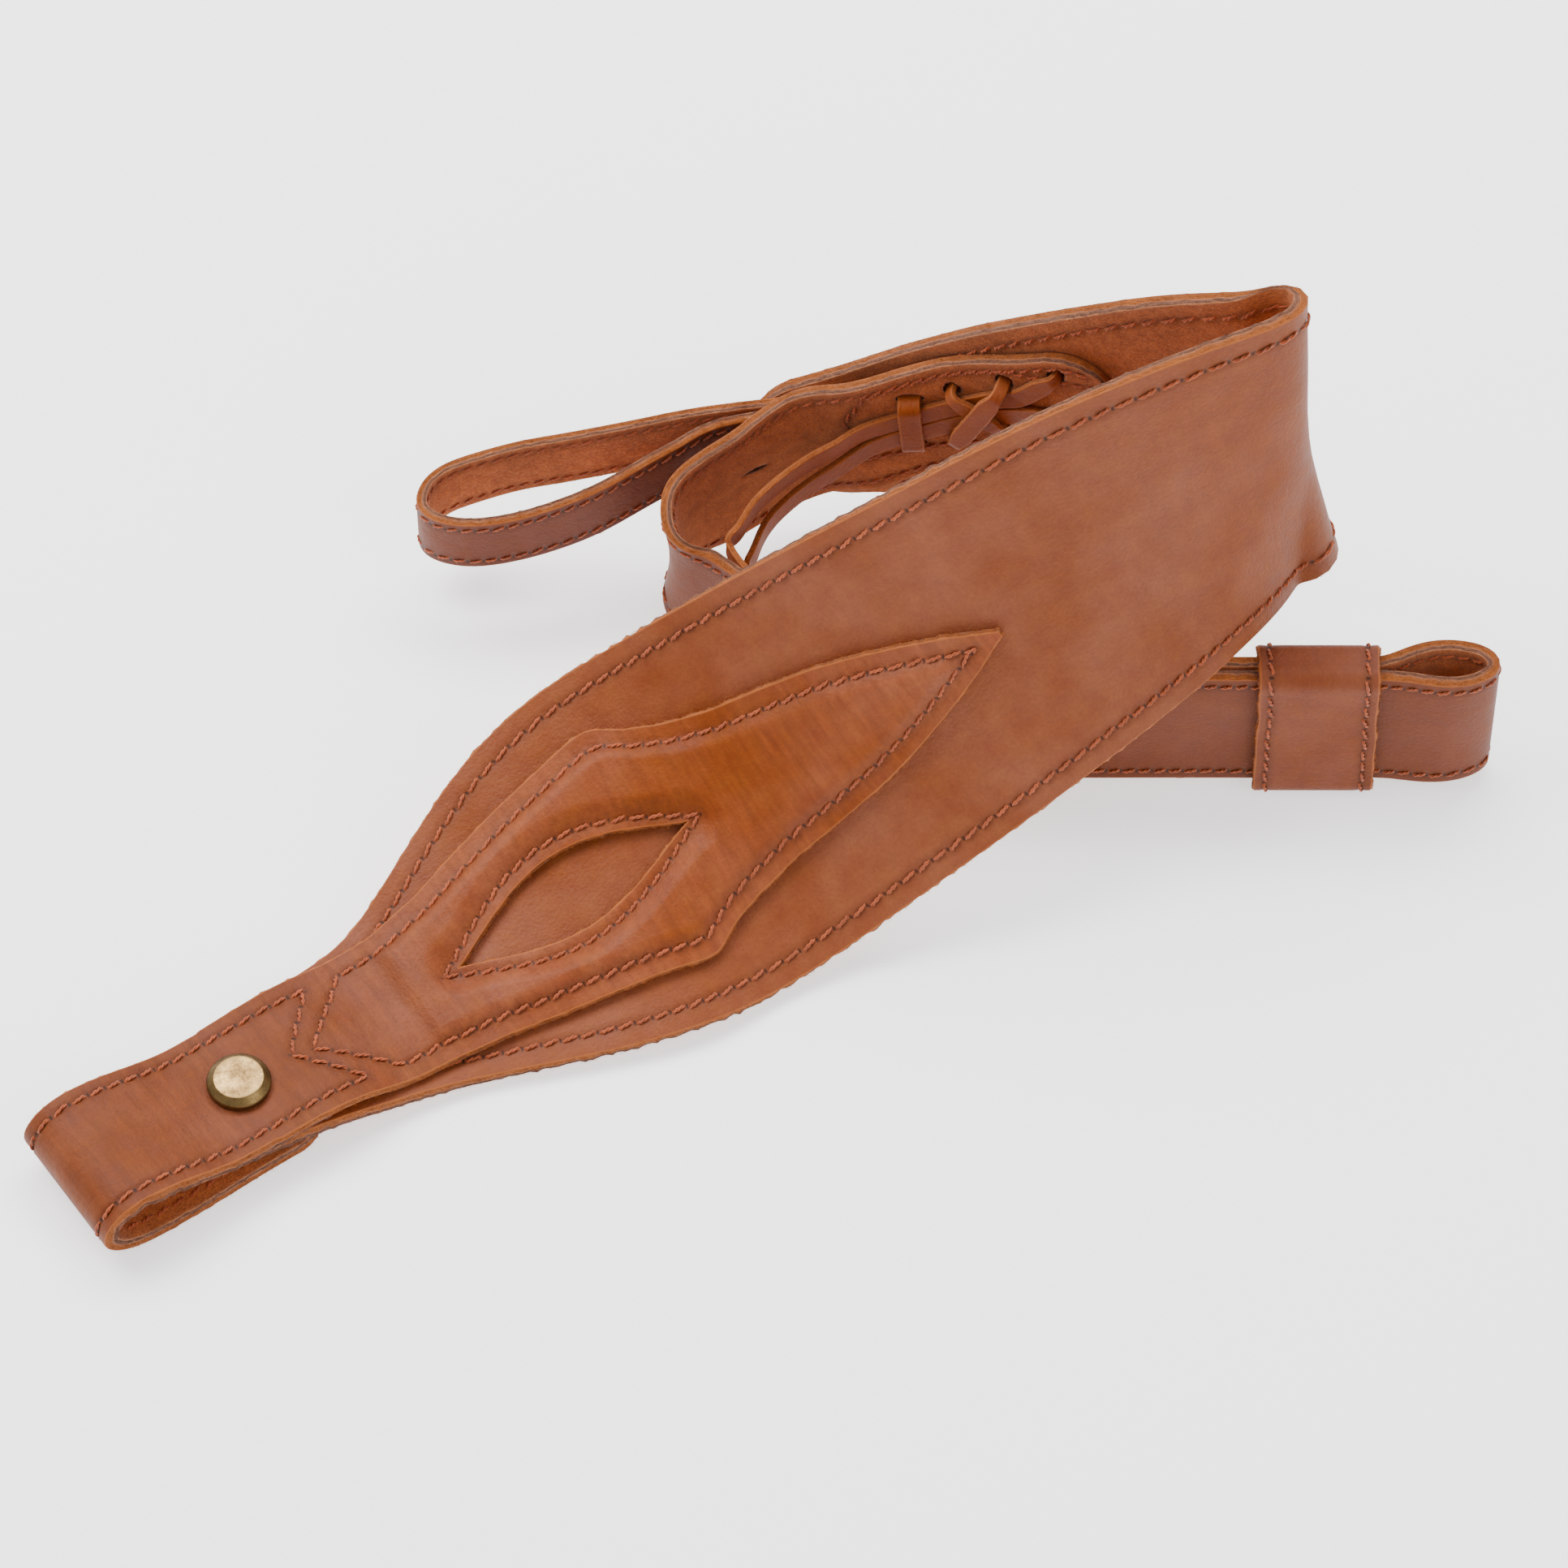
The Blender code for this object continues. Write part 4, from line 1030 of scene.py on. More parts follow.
def leather(name, colour, streak=0.0, gloss=0.44, painted_shade=None):
    """Smooth waxed leather: mottled, with pores and creases, with painted shade in the seam grooves and
    needle holes, and paler at the rim.
    """
    graph = Graph(name)
    spot = graph.attribute("strap_uv")
    phase, away, rim = split(graph, graph.attribute("seam"))
    cloud = graph.noise(spot, 0.028, 3.0, 0.6)
    patch = graph.noise(spot, 0.16, 4.0, 0.6)
    grain = graph.noise(spot, 1.15, 3.0, 0.62)
    pores = graph.add("ShaderNodeTexVoronoi", {"Vector": spot, "Scale": 1.35}, feature="F1")
    lines = graph.noise(graph.stretched(spot, (1.0, 0.13, 1.0)), 0.62, 3.0, 0.55)
    veins = graph.noise(graph.stretched(spot, (0.16, 1.0, 1.0)), 0.5, 3.0, 0.6)
    value = graph.times(
        graph.spread(cloud, 0.86, 1.13),
        graph.fit(patch, 0.25, 0.75, 0.9, 1.1),
        graph.spread(grain, 0.92, 1.08),
        graph.fit(lines, 0.3, 0.72, 1 - 1.1 * streak, 1 + 0.9 * streak),
        graph.spread(veins, 0.97, 1.03),
    )
    # Painted shade: darker along the start of the strap, paling out further along.
    if painted_shade:
        value = graph.times(value, graph.fit(split(graph, spot)[0], *painted_shade, 1.0))
    # Painted shade: darker in the pressed groove along each seam and in the needle holes.
    value = graph.times(value, graph.fit(away, 0.25, 2.4, 0.78, 1.0), needle_hole_shade(graph, phase, away))
    reddish = graph.spread(patch, 0.497, 0.503)
    base = graph.shade(tone(*colour), value, graph.spread(cloud, 1.05, 0.93), reddish)
    base = graph.mix(graph.fit(rim, 0.1, 0.45, 0.75, 0.0), base, tone(*WORN_TONE))
    height = graph.bump(graph.fit(pores, 0.0, 0.55, 0.0, 1.0), 0.00003)
    height = graph.bump(grain, 0.00018, height)
    height = graph.bump(lines, 0.00005 + 0.0003 * streak, height)
    height = graph.bump(patch, 0.00022, height)
    return graph.set(
        Base_Color=base,
        Roughness=graph.spread(patch, gloss - 0.03, gloss + 0.09),
        Normal=height,
        Specular_IOR_Level=0.2,
        Coat_Weight=0.0,
        Coat_Roughness=0.42,
    )


def needle_hole_shade(graph, phase, away):
    """A factor of painted shade that darkens the leather in the needle holes between two stitches."""
    part = graph.math("ABSOLUTE", graph.math("SUBTRACT", graph.math("FRACT", phase), 0.5))
    ends = graph.fit(part, 0.40, 0.47)
    close = graph.fit(away, 0.35, 0.8, 1.0, 0.0)
    return graph.fit(graph.times(ends, close), 0.0, 1.0, 1.0, 0.28)


def fibrous(graph, base, height, roughness, specular, sheen):
    """A rough surface with a soft sheen."""
    return graph.set(
        Base_Color=base,
        Roughness=roughness,
        Normal=height,
        Specular_IOR_Level=specular,
        Sheen_Weight=sheen,
        Sheen_Roughness=0.5,
    )


def suede(name, colour):
    """The napped flesh side: fibres of many lengths, lighter flecks and rubbed patches, with painted shade
    along the seams.
    """
    graph = Graph(name)
    spot = graph.attribute("strap_uv")
    _, away, rim = split(graph, graph.attribute("seam"))
    cloud = graph.noise(spot, 0.045, 3.0, 0.6)
    patch = graph.noise(spot, 0.32, 5.0, 0.68)
    nap = graph.noise(graph.stretched(spot, (0.6, 1.0, 1.0)), 2.6, 4.0, 0.7)
    fleck = graph.noise(spot, 1.5, 5.0, 0.75)
    # The last factor is painted shade in the pressed groove along each seam.
    value = graph.times(
        graph.spread(cloud, 0.84, 1.16),
        graph.spread(patch, 0.8, 1.2),
        graph.spread(nap, 0.6, 1.4),
        graph.fit(away, 0.2, 2.0, 0.62, 1.0),
    )
    base = graph.shade(tone(*colour), value)
    base = graph.mix(graph.fit(fleck, 0.58, 0.74, 0.0, 0.3), base, tone(0.60, 0.26, 0.11))
    base = graph.mix(graph.fit(rim, 0.1, 0.6, 0.3, 0.0), base, tone(0.42, 0.24, 0.15))
    height = graph.bump(patch, 0.0006, graph.bump(nap, 0.00042))
    return fibrous(graph, base, height, 0.94, 0.12, 0.12)


def cut_edge(name, colour, grey=0.0):
    """A raw cut edge, fibrous and uneven."""
    graph = Graph(name)
    spot = graph.attribute("strap_uv")
    fibre = graph.noise(graph.stretched(spot, (0.8, 0.8, 2.6)), 1.5, 5.0, 0.72)
    patch = graph.noise(spot, 0.3, 3.0, 0.6)
    value = graph.times(graph.spread(fibre, 0.42, 1.45), graph.spread(patch, 0.86, 1.14))
    base = graph.shade(tone(*colour), value, 1.0 - 0.2 * grey)
    base = graph.mix(graph.fit(fibre, 0.62, 0.78, 0.0, 0.4), base, tone(0.62, 0.25, 0.08))
    return fibrous(graph, base, graph.bump(fibre, 0.0011), 0.9, 0.15, 0.08)


def thread_material():
    graph = Graph("thread")
    place = graph.add("ShaderNodeTexCoord", out="Object")
    fibre = graph.noise(place, 2600.0, 2.0, 0.6)
    patch = graph.noise(place, 160.0, 2.0, 0.6)
    value = graph.times(graph.spread(fibre, 0.8, 1.2), graph.spread(patch, 0.8, 1.2))
    base = graph.shade(tone(*THREAD_TONE), value)
    return fibrous(graph, base, graph.bump(fibre, 0.00006), 0.62, 0.3, 0.2)


def brass(name, bright, dark):
    """Antique brass, rubbed bright in places and brown in others."""
    graph = Graph(name)
    place = graph.add("ShaderNodeTexCoord", out="Object")
    patch = graph.noise(place, 230.0, 5.0, 0.6)
    speck = graph.noise(place, 2400.0, 4.0, 0.7)
    mixed = graph.math("ADD", graph.times(patch, 0.65), graph.times(speck, 0.35))
    aged = graph.fit(mixed, 0.42, 0.62)
    base = graph.mix(aged, tone(*bright), tone(*dark))
    rough = graph.fit(aged, 0.0, 1.0, 0.33, 0.56)
    return graph.set(Base_Color=base, Metallic=0.9, Roughness=rough, Normal=graph.bump(mixed, 0.00002))


# ---- the pieces ----------------------------------------------------------------------------------


# Painted shade on the tab: darker up to here along it, then pales to here. The last number is how dark.
TAB_PAINTED_SHADE = (135.0, 190.0, 0.72)
SHOULDER_TONE = (0.205, 0.050, 0.0145)
TAB_TONE = (0.215, 0.046, 0.0085)
TAIL_TONE = (0.135, 0.029, 0.0075)
KEEPER_TONE = (0.165, 0.036, 0.009)
HAND_TONE = (0.13, 0.027, 0.008)
SUEDE_TONE = (0.42, 0.120, 0.034)
EDGE_TONE = (0.42, 0.108, 0.014)
EDGE_GREY = (0.25, 0.080, 0.028)
LACE_TONE = (0.27, 0.060, 0.009)

SHOULDER_SEAM = 5.2
TAB_SEAM = 3.4
PANEL_SEAM = 4.6
TAIL_SEAM = 2.7
HAND_SEAM = 2.1
STITCH = 4.5
FINE_STITCH = 3.6
# Slow waves of the shoulder strap's surface: height, width and seed.
WAVE = 0.10
WAVE_SIZE = 26.0
SHOULDER_SEED = 11
# Up to here the tail strap's sheets are finer, for the lacing. The seam round the lacing, as place along the
# tail strap and place across it.
PATCH_END = 66
PATCH = [
    (1.5, 6.5),
    (22, 15.0),
    (61, 14.6),
    (69.5, 7),
    (70.5, -7),
    (43, -9.5),
    (14, -12.0),
    (3.0, -8.0),
    (1.5, 6.5),
]


def panel_half(place):
    return float(eased(PANEL, place))


def eye_half(place):
    """Half width of the pointed eye-shaped window in the panel."""
    if place <= EYE_START or place >= EYE_END:
        return 0.0
    share = (place - EYE_START) / (EYE_END - EYE_START)
    return float(EYE_HALF * np.sin(np.pi * share) ** 1.15)


def puff(place, across):
    """How far the padding lifts the panel, none at the stitched edges."""
    across = np.abs(across)
    edge = eased(PANEL, place)
    share = np.clip((place - EYE_START) / (EYE_END - EYE_START), 0, 1)
    eye = EYE_HALF * np.sin(np.pi * share) ** 1.15
    past = np.maximum(np.maximum(EYE_START - place, place - EYE_END), 0)
    from_eye = np.where(past > 0, np.hypot(past, across), across - eye)
    from_ends = np.minimum(place - PUFF_START, PUFF_END - place)
    room = np.minimum(np.minimum(edge - across, from_ends), from_eye)
    share = np.clip((room - PUFF_RIM) / PUFF_RISE, 0, 1)
    return PADDING * share * share * (3 - 2 * share)


def on_track(track, spot, low, high):
    """The place along a track and across it that is nearest to a point."""
    span = np.linspace(low, high, 1200)
    away = np.asarray(spot, float) - track.read(track.centre, span)
    across = unit(track.read(track.across, span))
    beside = (away * across).sum(1)
    rest = np.linalg.norm(away - beside[:, None] * across, axis=1)
    best = rest.argmin()
    return float(span[best]), float(beside[best])


def rim_seam(width, start, end, inset, close_start=False, close_end=False):
    """A seam that follows the outline at this inset, as one line along each side or one round both."""
    places = np.linspace(start + (inset if close_start else 0), end - (inset if close_end else 0), 700)
    side = np.array([max(width(p) - inset, 0.6) for p in places])
    left = np.stack([places, side], -1)
    right = np.stack([places, -side], -1)
    if close_start and close_end:
        return [np.concatenate([left, right[::-1], left[:1]])]
    if close_end:
        return [np.concatenate([left, right[::-1]])]
    return [left, right]


def with_pitch(lines, pitch):
    return [(line, pitch) for line in lines]


def take(obj, nodes, slot, body="strap"):
    """Puts a finished piece, with its loose fibres, on its body in place of the plain solids."""
    if isinstance(obj, tuple):
        obj, fibres = obj
        if fibres:
            take(fibres, [], slot, body)
    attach(obj, body)
    if nodes:
        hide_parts(*nodes)
    return obj


def hole_row(track, tail, low, high, with_slots):
    """The lacing holes as they lie on a track."""
    rows = []
    for place, across in (HOLE_1, HOLE_2, HOLE_3, HOLE_4, HOLE_5, HOLE_6):
        if track is tail:
            s, w = place, across
        else:
            s, w = on_track(track, tail.spot(place, across), low, high)
        rows.append((s, w, HOLE_SIZE / 2, HOLE_SIZE / 2, 0.0))
    if with_slots:
        run = np.subtract(BAND_FOOT, BAND_TOP)
        turn = float(np.arctan2(run[1], run[0]))
        for place, across in (BAND_TOP, BAND_FOOT):
            rows.append((place, across, BAND_SLOT[1] / 2, BAND_SLOT[0] / 2, turn))
        rows.append((SLIT_PLACE, SLIT_ACROSS, SLIT_SIZE[0] / 2, SLIT_SIZE[1] / 2, 0.12))
    return rows


def leather_slots(look, kind):
    return look[kind], look["edge"], look["flesh"]


def lining_slots(look):
    return look["flesh"], look["grey_edge"], look["suede"]


def two_layers(names, track, places, width, thick, lining, look, kind, seed, fray, **settings):
    """A strap of smooth leather on its suede lining. names are the piece's and the solid's."""
    piece, node = names
    slots = leather_slots(look, kind)
    plan = (track, places, width, no_hole)
    top = sheet(piece + "_leather", *plan, flat(0), flat(thick), slots, seed, **settings)
    take(top, [node + "_leather"], "smooth_leather")
    slots = lining_slots(look)
    below, above = flat(-GAP - lining), flat(LINING_TOP)
    under = sheet(piece + "_suede", *plan, below, above, slots, seed, fray=fray, **settings)
    take(under, [node + "_lining"], "suede_lining")


def sew(name, track, seams, level, side, look, body="strap", **more):
    """Stitches along the seams, on the face at this level."""
    level = level if callable(level) else flat(level)
    take(stitches(name, track, seams, level, side, look["thread"], **more), [], "smooth_leather", body)


def make_shoulder(shoulder, tail, look):
    width = rounded(shoulder.half_at, 0, shoulder.length, *SHOULDER_CORNERS)
    places = even_places(0, shoulder.length, 1.5, *SHOULDER_CORNERS)
    seams = with_pitch(rim_seam(width, 2.0, shoulder.length, SHOULDER_SEAM, close_end=True), STITCH)
    holes = hole_row(shoulder, tail, 330, shoulder.length, False)
    steps = EDGE_STEPS + (2.6, 4.0, 4.7, SHOULDER_SEAM, 5.8, 6.6)
    two_layers(
        ("shoulder_strap", "shoulder"), shoulder, places, width, SHOULDER_LEATHER, SHOULDER_LINING, look,
        "shoulder", SHOULDER_SEED, 0.2, seams=seams, wave=WAVE, holes=holes, edge_steps=steps, fibres=4
    )

    def face(base):
        return lambda place, across: base + WAVE * ripple(place, across, WAVE_SIZE, SHOULDER_SEED + 1)

    sew("shoulder_stitches", shoulder, seams, face(SHOULDER_LEATHER), 1, look)
    sew("shoulder_stitches_inside", shoulder, seams, face(-GAP - SHOULDER_LINING), -1, look, seed=4)


def panel_seams(shift):
    """The seams of the front tab, in its own places: the two V shapes, the outline and the eye."""
    places = np.linspace(50, 214.5, 420)
    side = np.array([max(panel_half(p) - PANEL_SEAM, 0.0) for p in places])
    wide = side > 0.4
    places, side = places[wide], side[wide]
    upper = np.stack([places, side], -1)
    lower = np.stack([places, -side], -1)[::-1]
    start = [(30, -1), (46, 14)]
    tip = [(places[-1] + 2.2, 0)]
    outline = np.concatenate([start, upper, tip, lower, [(47, -14), (30, -1)]])
    eye_places = np.linspace(EYE_START - 4.4, EYE_END + 3.6, 260)
    eye = []
    for p in eye_places:
        share = np.clip((p - EYE_START + 4.4) / (EYE_END - EYE_START + 8.0), 0, 1)
        eye.append((EYE_HALF + 3.2) * np.sin(np.pi * share) ** 1.1)
    eye = np.array(eye)
    round_eye = np.concatenate([np.stack([eye_places, eye], -1), np.stack([eye_places, -eye], -1)[::-1]])
    return outline + (shift, 0), round_eye + (shift, 0)


def make_tab(tab, shoulder, look):
    panel_start = tab.nearest(shoulder.spot(STUD_PLACE, 0, 3.8), 90, tab.length)
    shift = panel_start - STUD_PLACE
    end = PANEL[-1][0] + shift

    def half(place):
        return TAB_HALF if place < panel_start else panel_half(place - shift)

    def eye(place):
        return eye_half(place - shift)

    def lift(place, across):
        return np.where(place < panel_start, 0.0, puff(np.asarray(place) - shift, across))

    width = rounded(half, 0, end + 50, 10.0, 0)
    marks = [EYE_START + near for near in (0, 0.3, 0.8)] + [EYE_END - near for near in (0.8, 0.3, 0)]
    marks += [*PANEL_CORNER, sum(PANEL_CORNER) / 2]
    places = even_places(0, end, 1.1, 10.0, 0)
    places = np.unique(np.round(np.concatenate([places, np.array(marks) + shift]), 3))
    outline, round_eye = panel_seams(shift)
    edge = np.array([(p, TAB_HALF - TAB_SEAM) for p in np.linspace(8, 37 + shift, 300)])
    first = np.concatenate([edge, [(25 + shift, 0)], (edge * (1, -1))[::-1]])
    seams = [(outline, STITCH), (round_eye, 4.2), (first, STITCH)]
    hole = (STUD_PLACE + shift, 0.0, STUD_HOLE, STUD_HOLE, 0.0)
    steps = EDGE_STEPS + (2.4, 3.3, 4.0, 4.8, 5.6)

    def low(place, across):
        return lift(place, across) - np.where(place > panel_start + 30, 0.26, 0.0)

    def high(place, across):
        raised = lift(place, across)
        return raised + TAB_LEATHER + 0.05 * ripple(place, across, 9.0, 77) * (raised > 0.2)

    top = sheet(
        "front_tab_padded_leather", tab, places, width, eye, low, high, leather_slots(look, "tab"), 23,
        seams=seams, holes=[hole], spacing=0.9, edge_steps=steps, deep=0.5, fibres=8
    )
    take(top, ["front_tab_leather", "front_tab_padding"], "smooth_leather")
    lining_places = even_places(0, 24 + shift, 1.4, 10.0, 0)
    under = sheet(
        "front_tab_suede", tab, lining_places, lambda place: min(width(place), TAB_HALF), no_hole,
        flat(-GAP - TAB_LINING), flat(LINING_TOP), lining_slots(look), 23, holes=[hole], fray=0.24, fibres=9
    )
    take(under, ["front_tab_lining"], "suede_lining")

    def face(place, across):
        return lift(place, across) + TAB_LEATHER

    sew("front_tab_stitches", tab, seams, face, 1, look, seed=8, sink=0.3)
    inside = with_pitch([edge[20:150], (edge * (1, -1))[20:150]], STITCH)
    sew("front_tab_stitches_inside", tab, inside, -GAP - TAB_LINING, -1, look, seed=9)


def make_tail(tail, look):
    width = rounded(steady(TAIL_HALF), 0, tail.length, 12.0, 10.0)
    near = even_places(0, PATCH_END, 0.8, 12.0, 0)
    beyond = even_places(PATCH_END, tail.length, 1.2, 0, 10.0)
    places = np.unique(np.round(np.concatenate([near, beyond]), 3))
    edges = with_pitch(rim_seam(width, 0, tail.length, TAIL_SEAM, close_start=True), FINE_STITCH)
    seams = edges + [(np.array(PATCH, float), FINE_STITCH)]
    steps = EDGE_STEPS + (2.1, TAIL_SEAM, 3.3, 4.2)
    worn = (KEEPER_LEFT - KEEPER_TRAVEL - KEEPER_WEAR, KEEPER_RIGHT + KEEPER_WEAR)
    two_layers(
        ("tail_strap", "tail"), tail, places, width, TAIL_LEATHER, TAIL_LINING, look, "tail", 37, 0.18,
        seams=seams, holes=hole_row(tail, tail, 0, 1, True), edge_steps=steps, deep=0.25, fibres=3, worn=worn
    )
    sew("tail_stitches", tail, edges, TAIL_LEATHER, 1, look, radius=0.27, seed=14)
    sew("tail_stitches_inside", tail, seams, -GAP - TAIL_LINING, -1, look, radius=0.27, seed=15)


def make_hand(hand, look):
    width = steady(HAND_HALF)
    places = even_places(0, hand.length, 1.0)
    seams = with_pitch(rim_seam(width, 0, hand.length, HAND_SEAM), FINE_STITCH)
    two_layers(
        ("hand_strap", "hand_loop"), hand, places, width, HAND_LEATHER, HAND_LINING, look, "hand", 41, 0.16,
        seams=seams, edge_steps=EDGE_STEPS + (HAND_SEAM, 2.7), deep=0.2, spacing=1.1, fibres=3
    )
    sew("hand_strap_stitches", hand, seams, HAND_LEATHER, 1, look, radius=0.24, seed=18)
    sew("hand_strap_stitches_inside", hand, seams, -GAP - HAND_LINING, -1, look, radius=0.24, seed=19)


def ring_track(frame, middle, tall, depth, corner, length):
    """A closed route round the keeper, starting in the middle of its back."""
    along, across, out = frame
    half_tall, half_deep = tall - corner, depth - corner
    turn = np.linspace(0, np.pi / 2, 9)
    path = [(0.0, -depth)]
    for sign_a, sign_b, first in ((-1, -1, 0), (-1, 1, 1), (1, 1, 2), (1, -1, 3)):
        for angle in turn:
            spin = -np.pi / 2 - first * np.pi / 2 - angle
            beside, off = corner * np.cos(spin), corner * np.sin(spin)
            path.append((sign_a * half_tall + beside, sign_b * half_deep + off))
    path.append((0.0, -depth))
    dense, _ = resampled(path, 0.25)
    centre = middle + along * length / 2 + dense[:, :1] * across + dense[:, 1:] * out
    sideways = np.tile(along, (len(centre), 1))
    made = Track(centre, sideways)
    outward = (made.out * (centre - middle - along * length / 2)).sum(1).mean()
    return made if outward > 0 else Track(centre, -sideways)


def frame_at(track, place):
    """Unit directions along, across and outwards."""
    return [unit(track.read(rows, place)) for rows in (track.along, track.across, track.out)]


def make_keeper(tail, look):
    left = tail.nearest((KEEPER_LEFT, RUN_SIDE, RUN_HEIGHT), 150, tail.length * 0.62)
    frame_here = frame_at(tail, left)
    middle = tail.spot(left, 0, -PLY_STEP / 2)
    depth = (PLY_STEP + 2 * TAIL_LEATHER) / 2 + KEEPER_EASE
    tall = TAIL_HALF + KEEPER_EASE
    length = KEEPER_RIGHT - KEEPER_LEFT
    grow = KEEPER_LINING + GAP
    track = ring_track(frame_here, middle, tall + grow, depth + grow, KEEPER_CORNER + grow, length)
    places = even_places(0, track.length, 0.8)

    def width(place):
        return length / 2 - 0.25 + 0.22 * math.sin(place * 0.31) * math.sin(place * 0.13 + 1)

    seams = with_pitch(rim_seam(width, 0.5, track.length - 0.5, 2.6), 3.9)
    steps = EDGE_STEPS + (2.1, 2.6, 3.1, 4.0)
    top = sheet(
        "keeper_band_leather", track, places, width, no_hole, flat(0), flat(KEEPER_LEATHER),
        leather_slots(look, "keeper"), 53, seams=seams, edge_steps=steps, deep=0.3, fibres=4
    )
    take(top, ["keeper_leather"], "smooth_leather", "keeper")
    under = sheet(
        "keeper_band_suede", track, places, steady(length / 2 - 0.3), no_hole,
        flat(KEEPER_SLACK - GAP - KEEPER_LINING), flat(LINING_TOP), lining_slots(look), 54, fray=0.12
    )
    take(under, ["keeper_lining"], "suede_lining", "keeper")
    sew("keeper_stitches", track, seams, KEEPER_LEATHER, 1, look, "keeper", radius=0.3, seed=21)


def quarter_bend(before, after, steps=7):
    """A quarter circle of unit radius as (run, rise) pairs, from one axis to the other."""
    angles = np.linspace(before, after, steps)
    return [(np.cos(a), np.sin(a)) for a in angles]


def squeezed(length, half, foot_start, foot_end):
    """Half width of a strand that narrows where it goes into a hole."""

    def width(place):
        share_start = np.clip((place - foot_start) / 4.0, 0, 1) if foot_start else 1.0
        share_end = np.clip((length - foot_end - place) / 4.0, 0, 1) if foot_end else 1.0
        return SQUEEZED_HALF + (half - SQUEEZED_HALF) * float(min(share_start, share_end))

    return width


# Distances from a lace's rim at which its sheet has points.
LACE_STEPS = (0.0, 0.05, 0.14, 0.3, 0.5)


def lace_sheet(name, track, width, thick, node, look, seed):
    places = even_places(0, track.length, 0.5)
    slots = look["lace"], look["lace_edge"], look["lace"]
    made = sheet(
        name, track, places, width, no_hole, flat(0), flat(thick), slots, seed, edge_steps=LACE_STEPS,
        spacing=0.7, fray=0.07
    )
    return take(made, [node], "lace_leather")


def make_strand(name, tail, start, end, levels, foot, thick, half, side, look, seed, narrow=True):
    """A staple of leather: out of one hole, straight over the layers, and into the next hole."""
    start = np.array(start, float)
    end = np.array(end, float)
    span = float(np.linalg.norm(end - start))
    inset = thick / 2
    bend = quarter_bend(np.pi, np.pi / 2)
    profile = [(inset, foot), (inset, levels[0] - side * BEND_RADIUS)]
    for run, rise in bend[1:]:
        profile.append((inset + BEND_RADIUS * (1 + run), levels[0] - side * BEND_RADIUS * (1 - rise)))
    for run, rise in bend[:0:-1]:
        profile.append((span - inset - BEND_RADIUS * (1 + run), levels[1] - side * BEND_RADIUS * (1 - rise)))
    profile += [(span - inset, levels[1] - side * BEND_RADIUS), (span - inset, foot)]
    centre = []
    for run, out in profile:
        place, across = start + (end - start) * run / span
        centre.append(tail.spot(place, across, out))
    way = unit(tail.spot(*end) - tail.spot(*start))
    outwards = frame_at(tail, (start[0] + end[0]) / 2)[2]
    across_way = np.cross(outwards, way) * side
    track = Track(np.array(centre), np.tile(across_way, (len(centre), 1)))
    leg = abs(levels[0] - foot)
    width = squeezed(track.length, half, leg, leg) if narrow else steady(half)
    return lace_sheet(name + "_thong", track, width, thick, name, look, seed)


def make_lace(name, tail, inner_end, held_across, free, way, hole, look, seed):
    """One thong, from between the two plies round the inside of the curl and into its hole."""
    rest = -TAIL_LINING - 2 * GAP
    rows = [tail.spot(inner_end + extra, held_across, rest - lift) for extra, lift in LACE_HOLD]
    rows += [np.array(spot, float) for spot in free]
    rows += [tail.spot(place, across, rest - LACE_LIFT * (place > LACE_LIFT_FROM)) for place, across in way]
    last = np.array(way[-1], float)
    target = np.array(hole, float)
    heading = (target - last) / np.linalg.norm(target - last)
    inset = LACE / 2
    near = target - heading * (inset + BEND_RADIUS)
    rows.append(tail.spot(*near, rest))
    centre = list(spline(rows, 12))
    for run, rise in quarter_bend(np.pi / 2, 0, 6)[1:]:
        spot = near + heading * BEND_RADIUS * run
        centre.append(tail.spot(*spot, rest + BEND_RADIUS * (1 - rise)))
    centre.append(tail.spot(*(target - heading * inset), STRAND_FOOT))
    centre = np.array(centre)
    across = np.tile((0.0, 0.0, 1.0), (len(centre), 1))
    across[-30:] = frame_at(tail, hole[0])[1]
    track = Track(centre, across)
    width = squeezed(track.length, LACE_HALF, 0, STRAND_FOOT - rest)
    return lace_sheet(name + "_thong", track, width, LACE, name, look, seed)


def make_lacing(tail, inner_end, look):
    for name, across, free, way, hole, seed in (
        ("lace_upper", UPPER_LACE_ACROSS, UPPER_LACE_FREE, UPPER_LACE_WAY, HOLE_5, 61),
        ("lace_lower", LOWER_LACE_ACROSS, LOWER_LACE_FREE, LOWER_LACE_WAY, HOLE_6, 62),
    ):
        make_lace(name, tail, inner_end, across, free, way, hole, look, seed)
    above = -TAIL_LINING - 3 * GAP - LACE
    further = above - LACE - GAP
    for name, start, end, level, thick, half, seed in (
        ("lace_cross_under", HOLE_1, HOLE_4, above, LACE, CROSS_HALF, 63),
        ("lace_cross_over", HOLE_2, HOLE_3, further, LACE, CROSS_HALF, 64),
        ("lace_band", BAND_TOP, BAND_FOOT, above, BAND_THICK, BAND_HALF, 65),
    ):
        narrow = name != "lace_band"
        make_strand(name, tail, start, end, (level, level), STRAND_FOOT, thick, half, -1, look, seed, narrow)
    behind = -JOIN[0][2] + SHOULDER_LEATHER + 2 * GAP
    for name, start, end, rise, seed in (
        ("lace_back_upper", HOLE_5, HOLE_1, 0.3, 66),
        ("lace_back_lower", HOLE_6, HOLE_2, 1.4, 67),
    ):
        levels = (behind, behind + rise)
        make_strand(name, tail, start, end, levels, BACK_FOOT, LACE, CROSS_HALF, 1, look, seed)


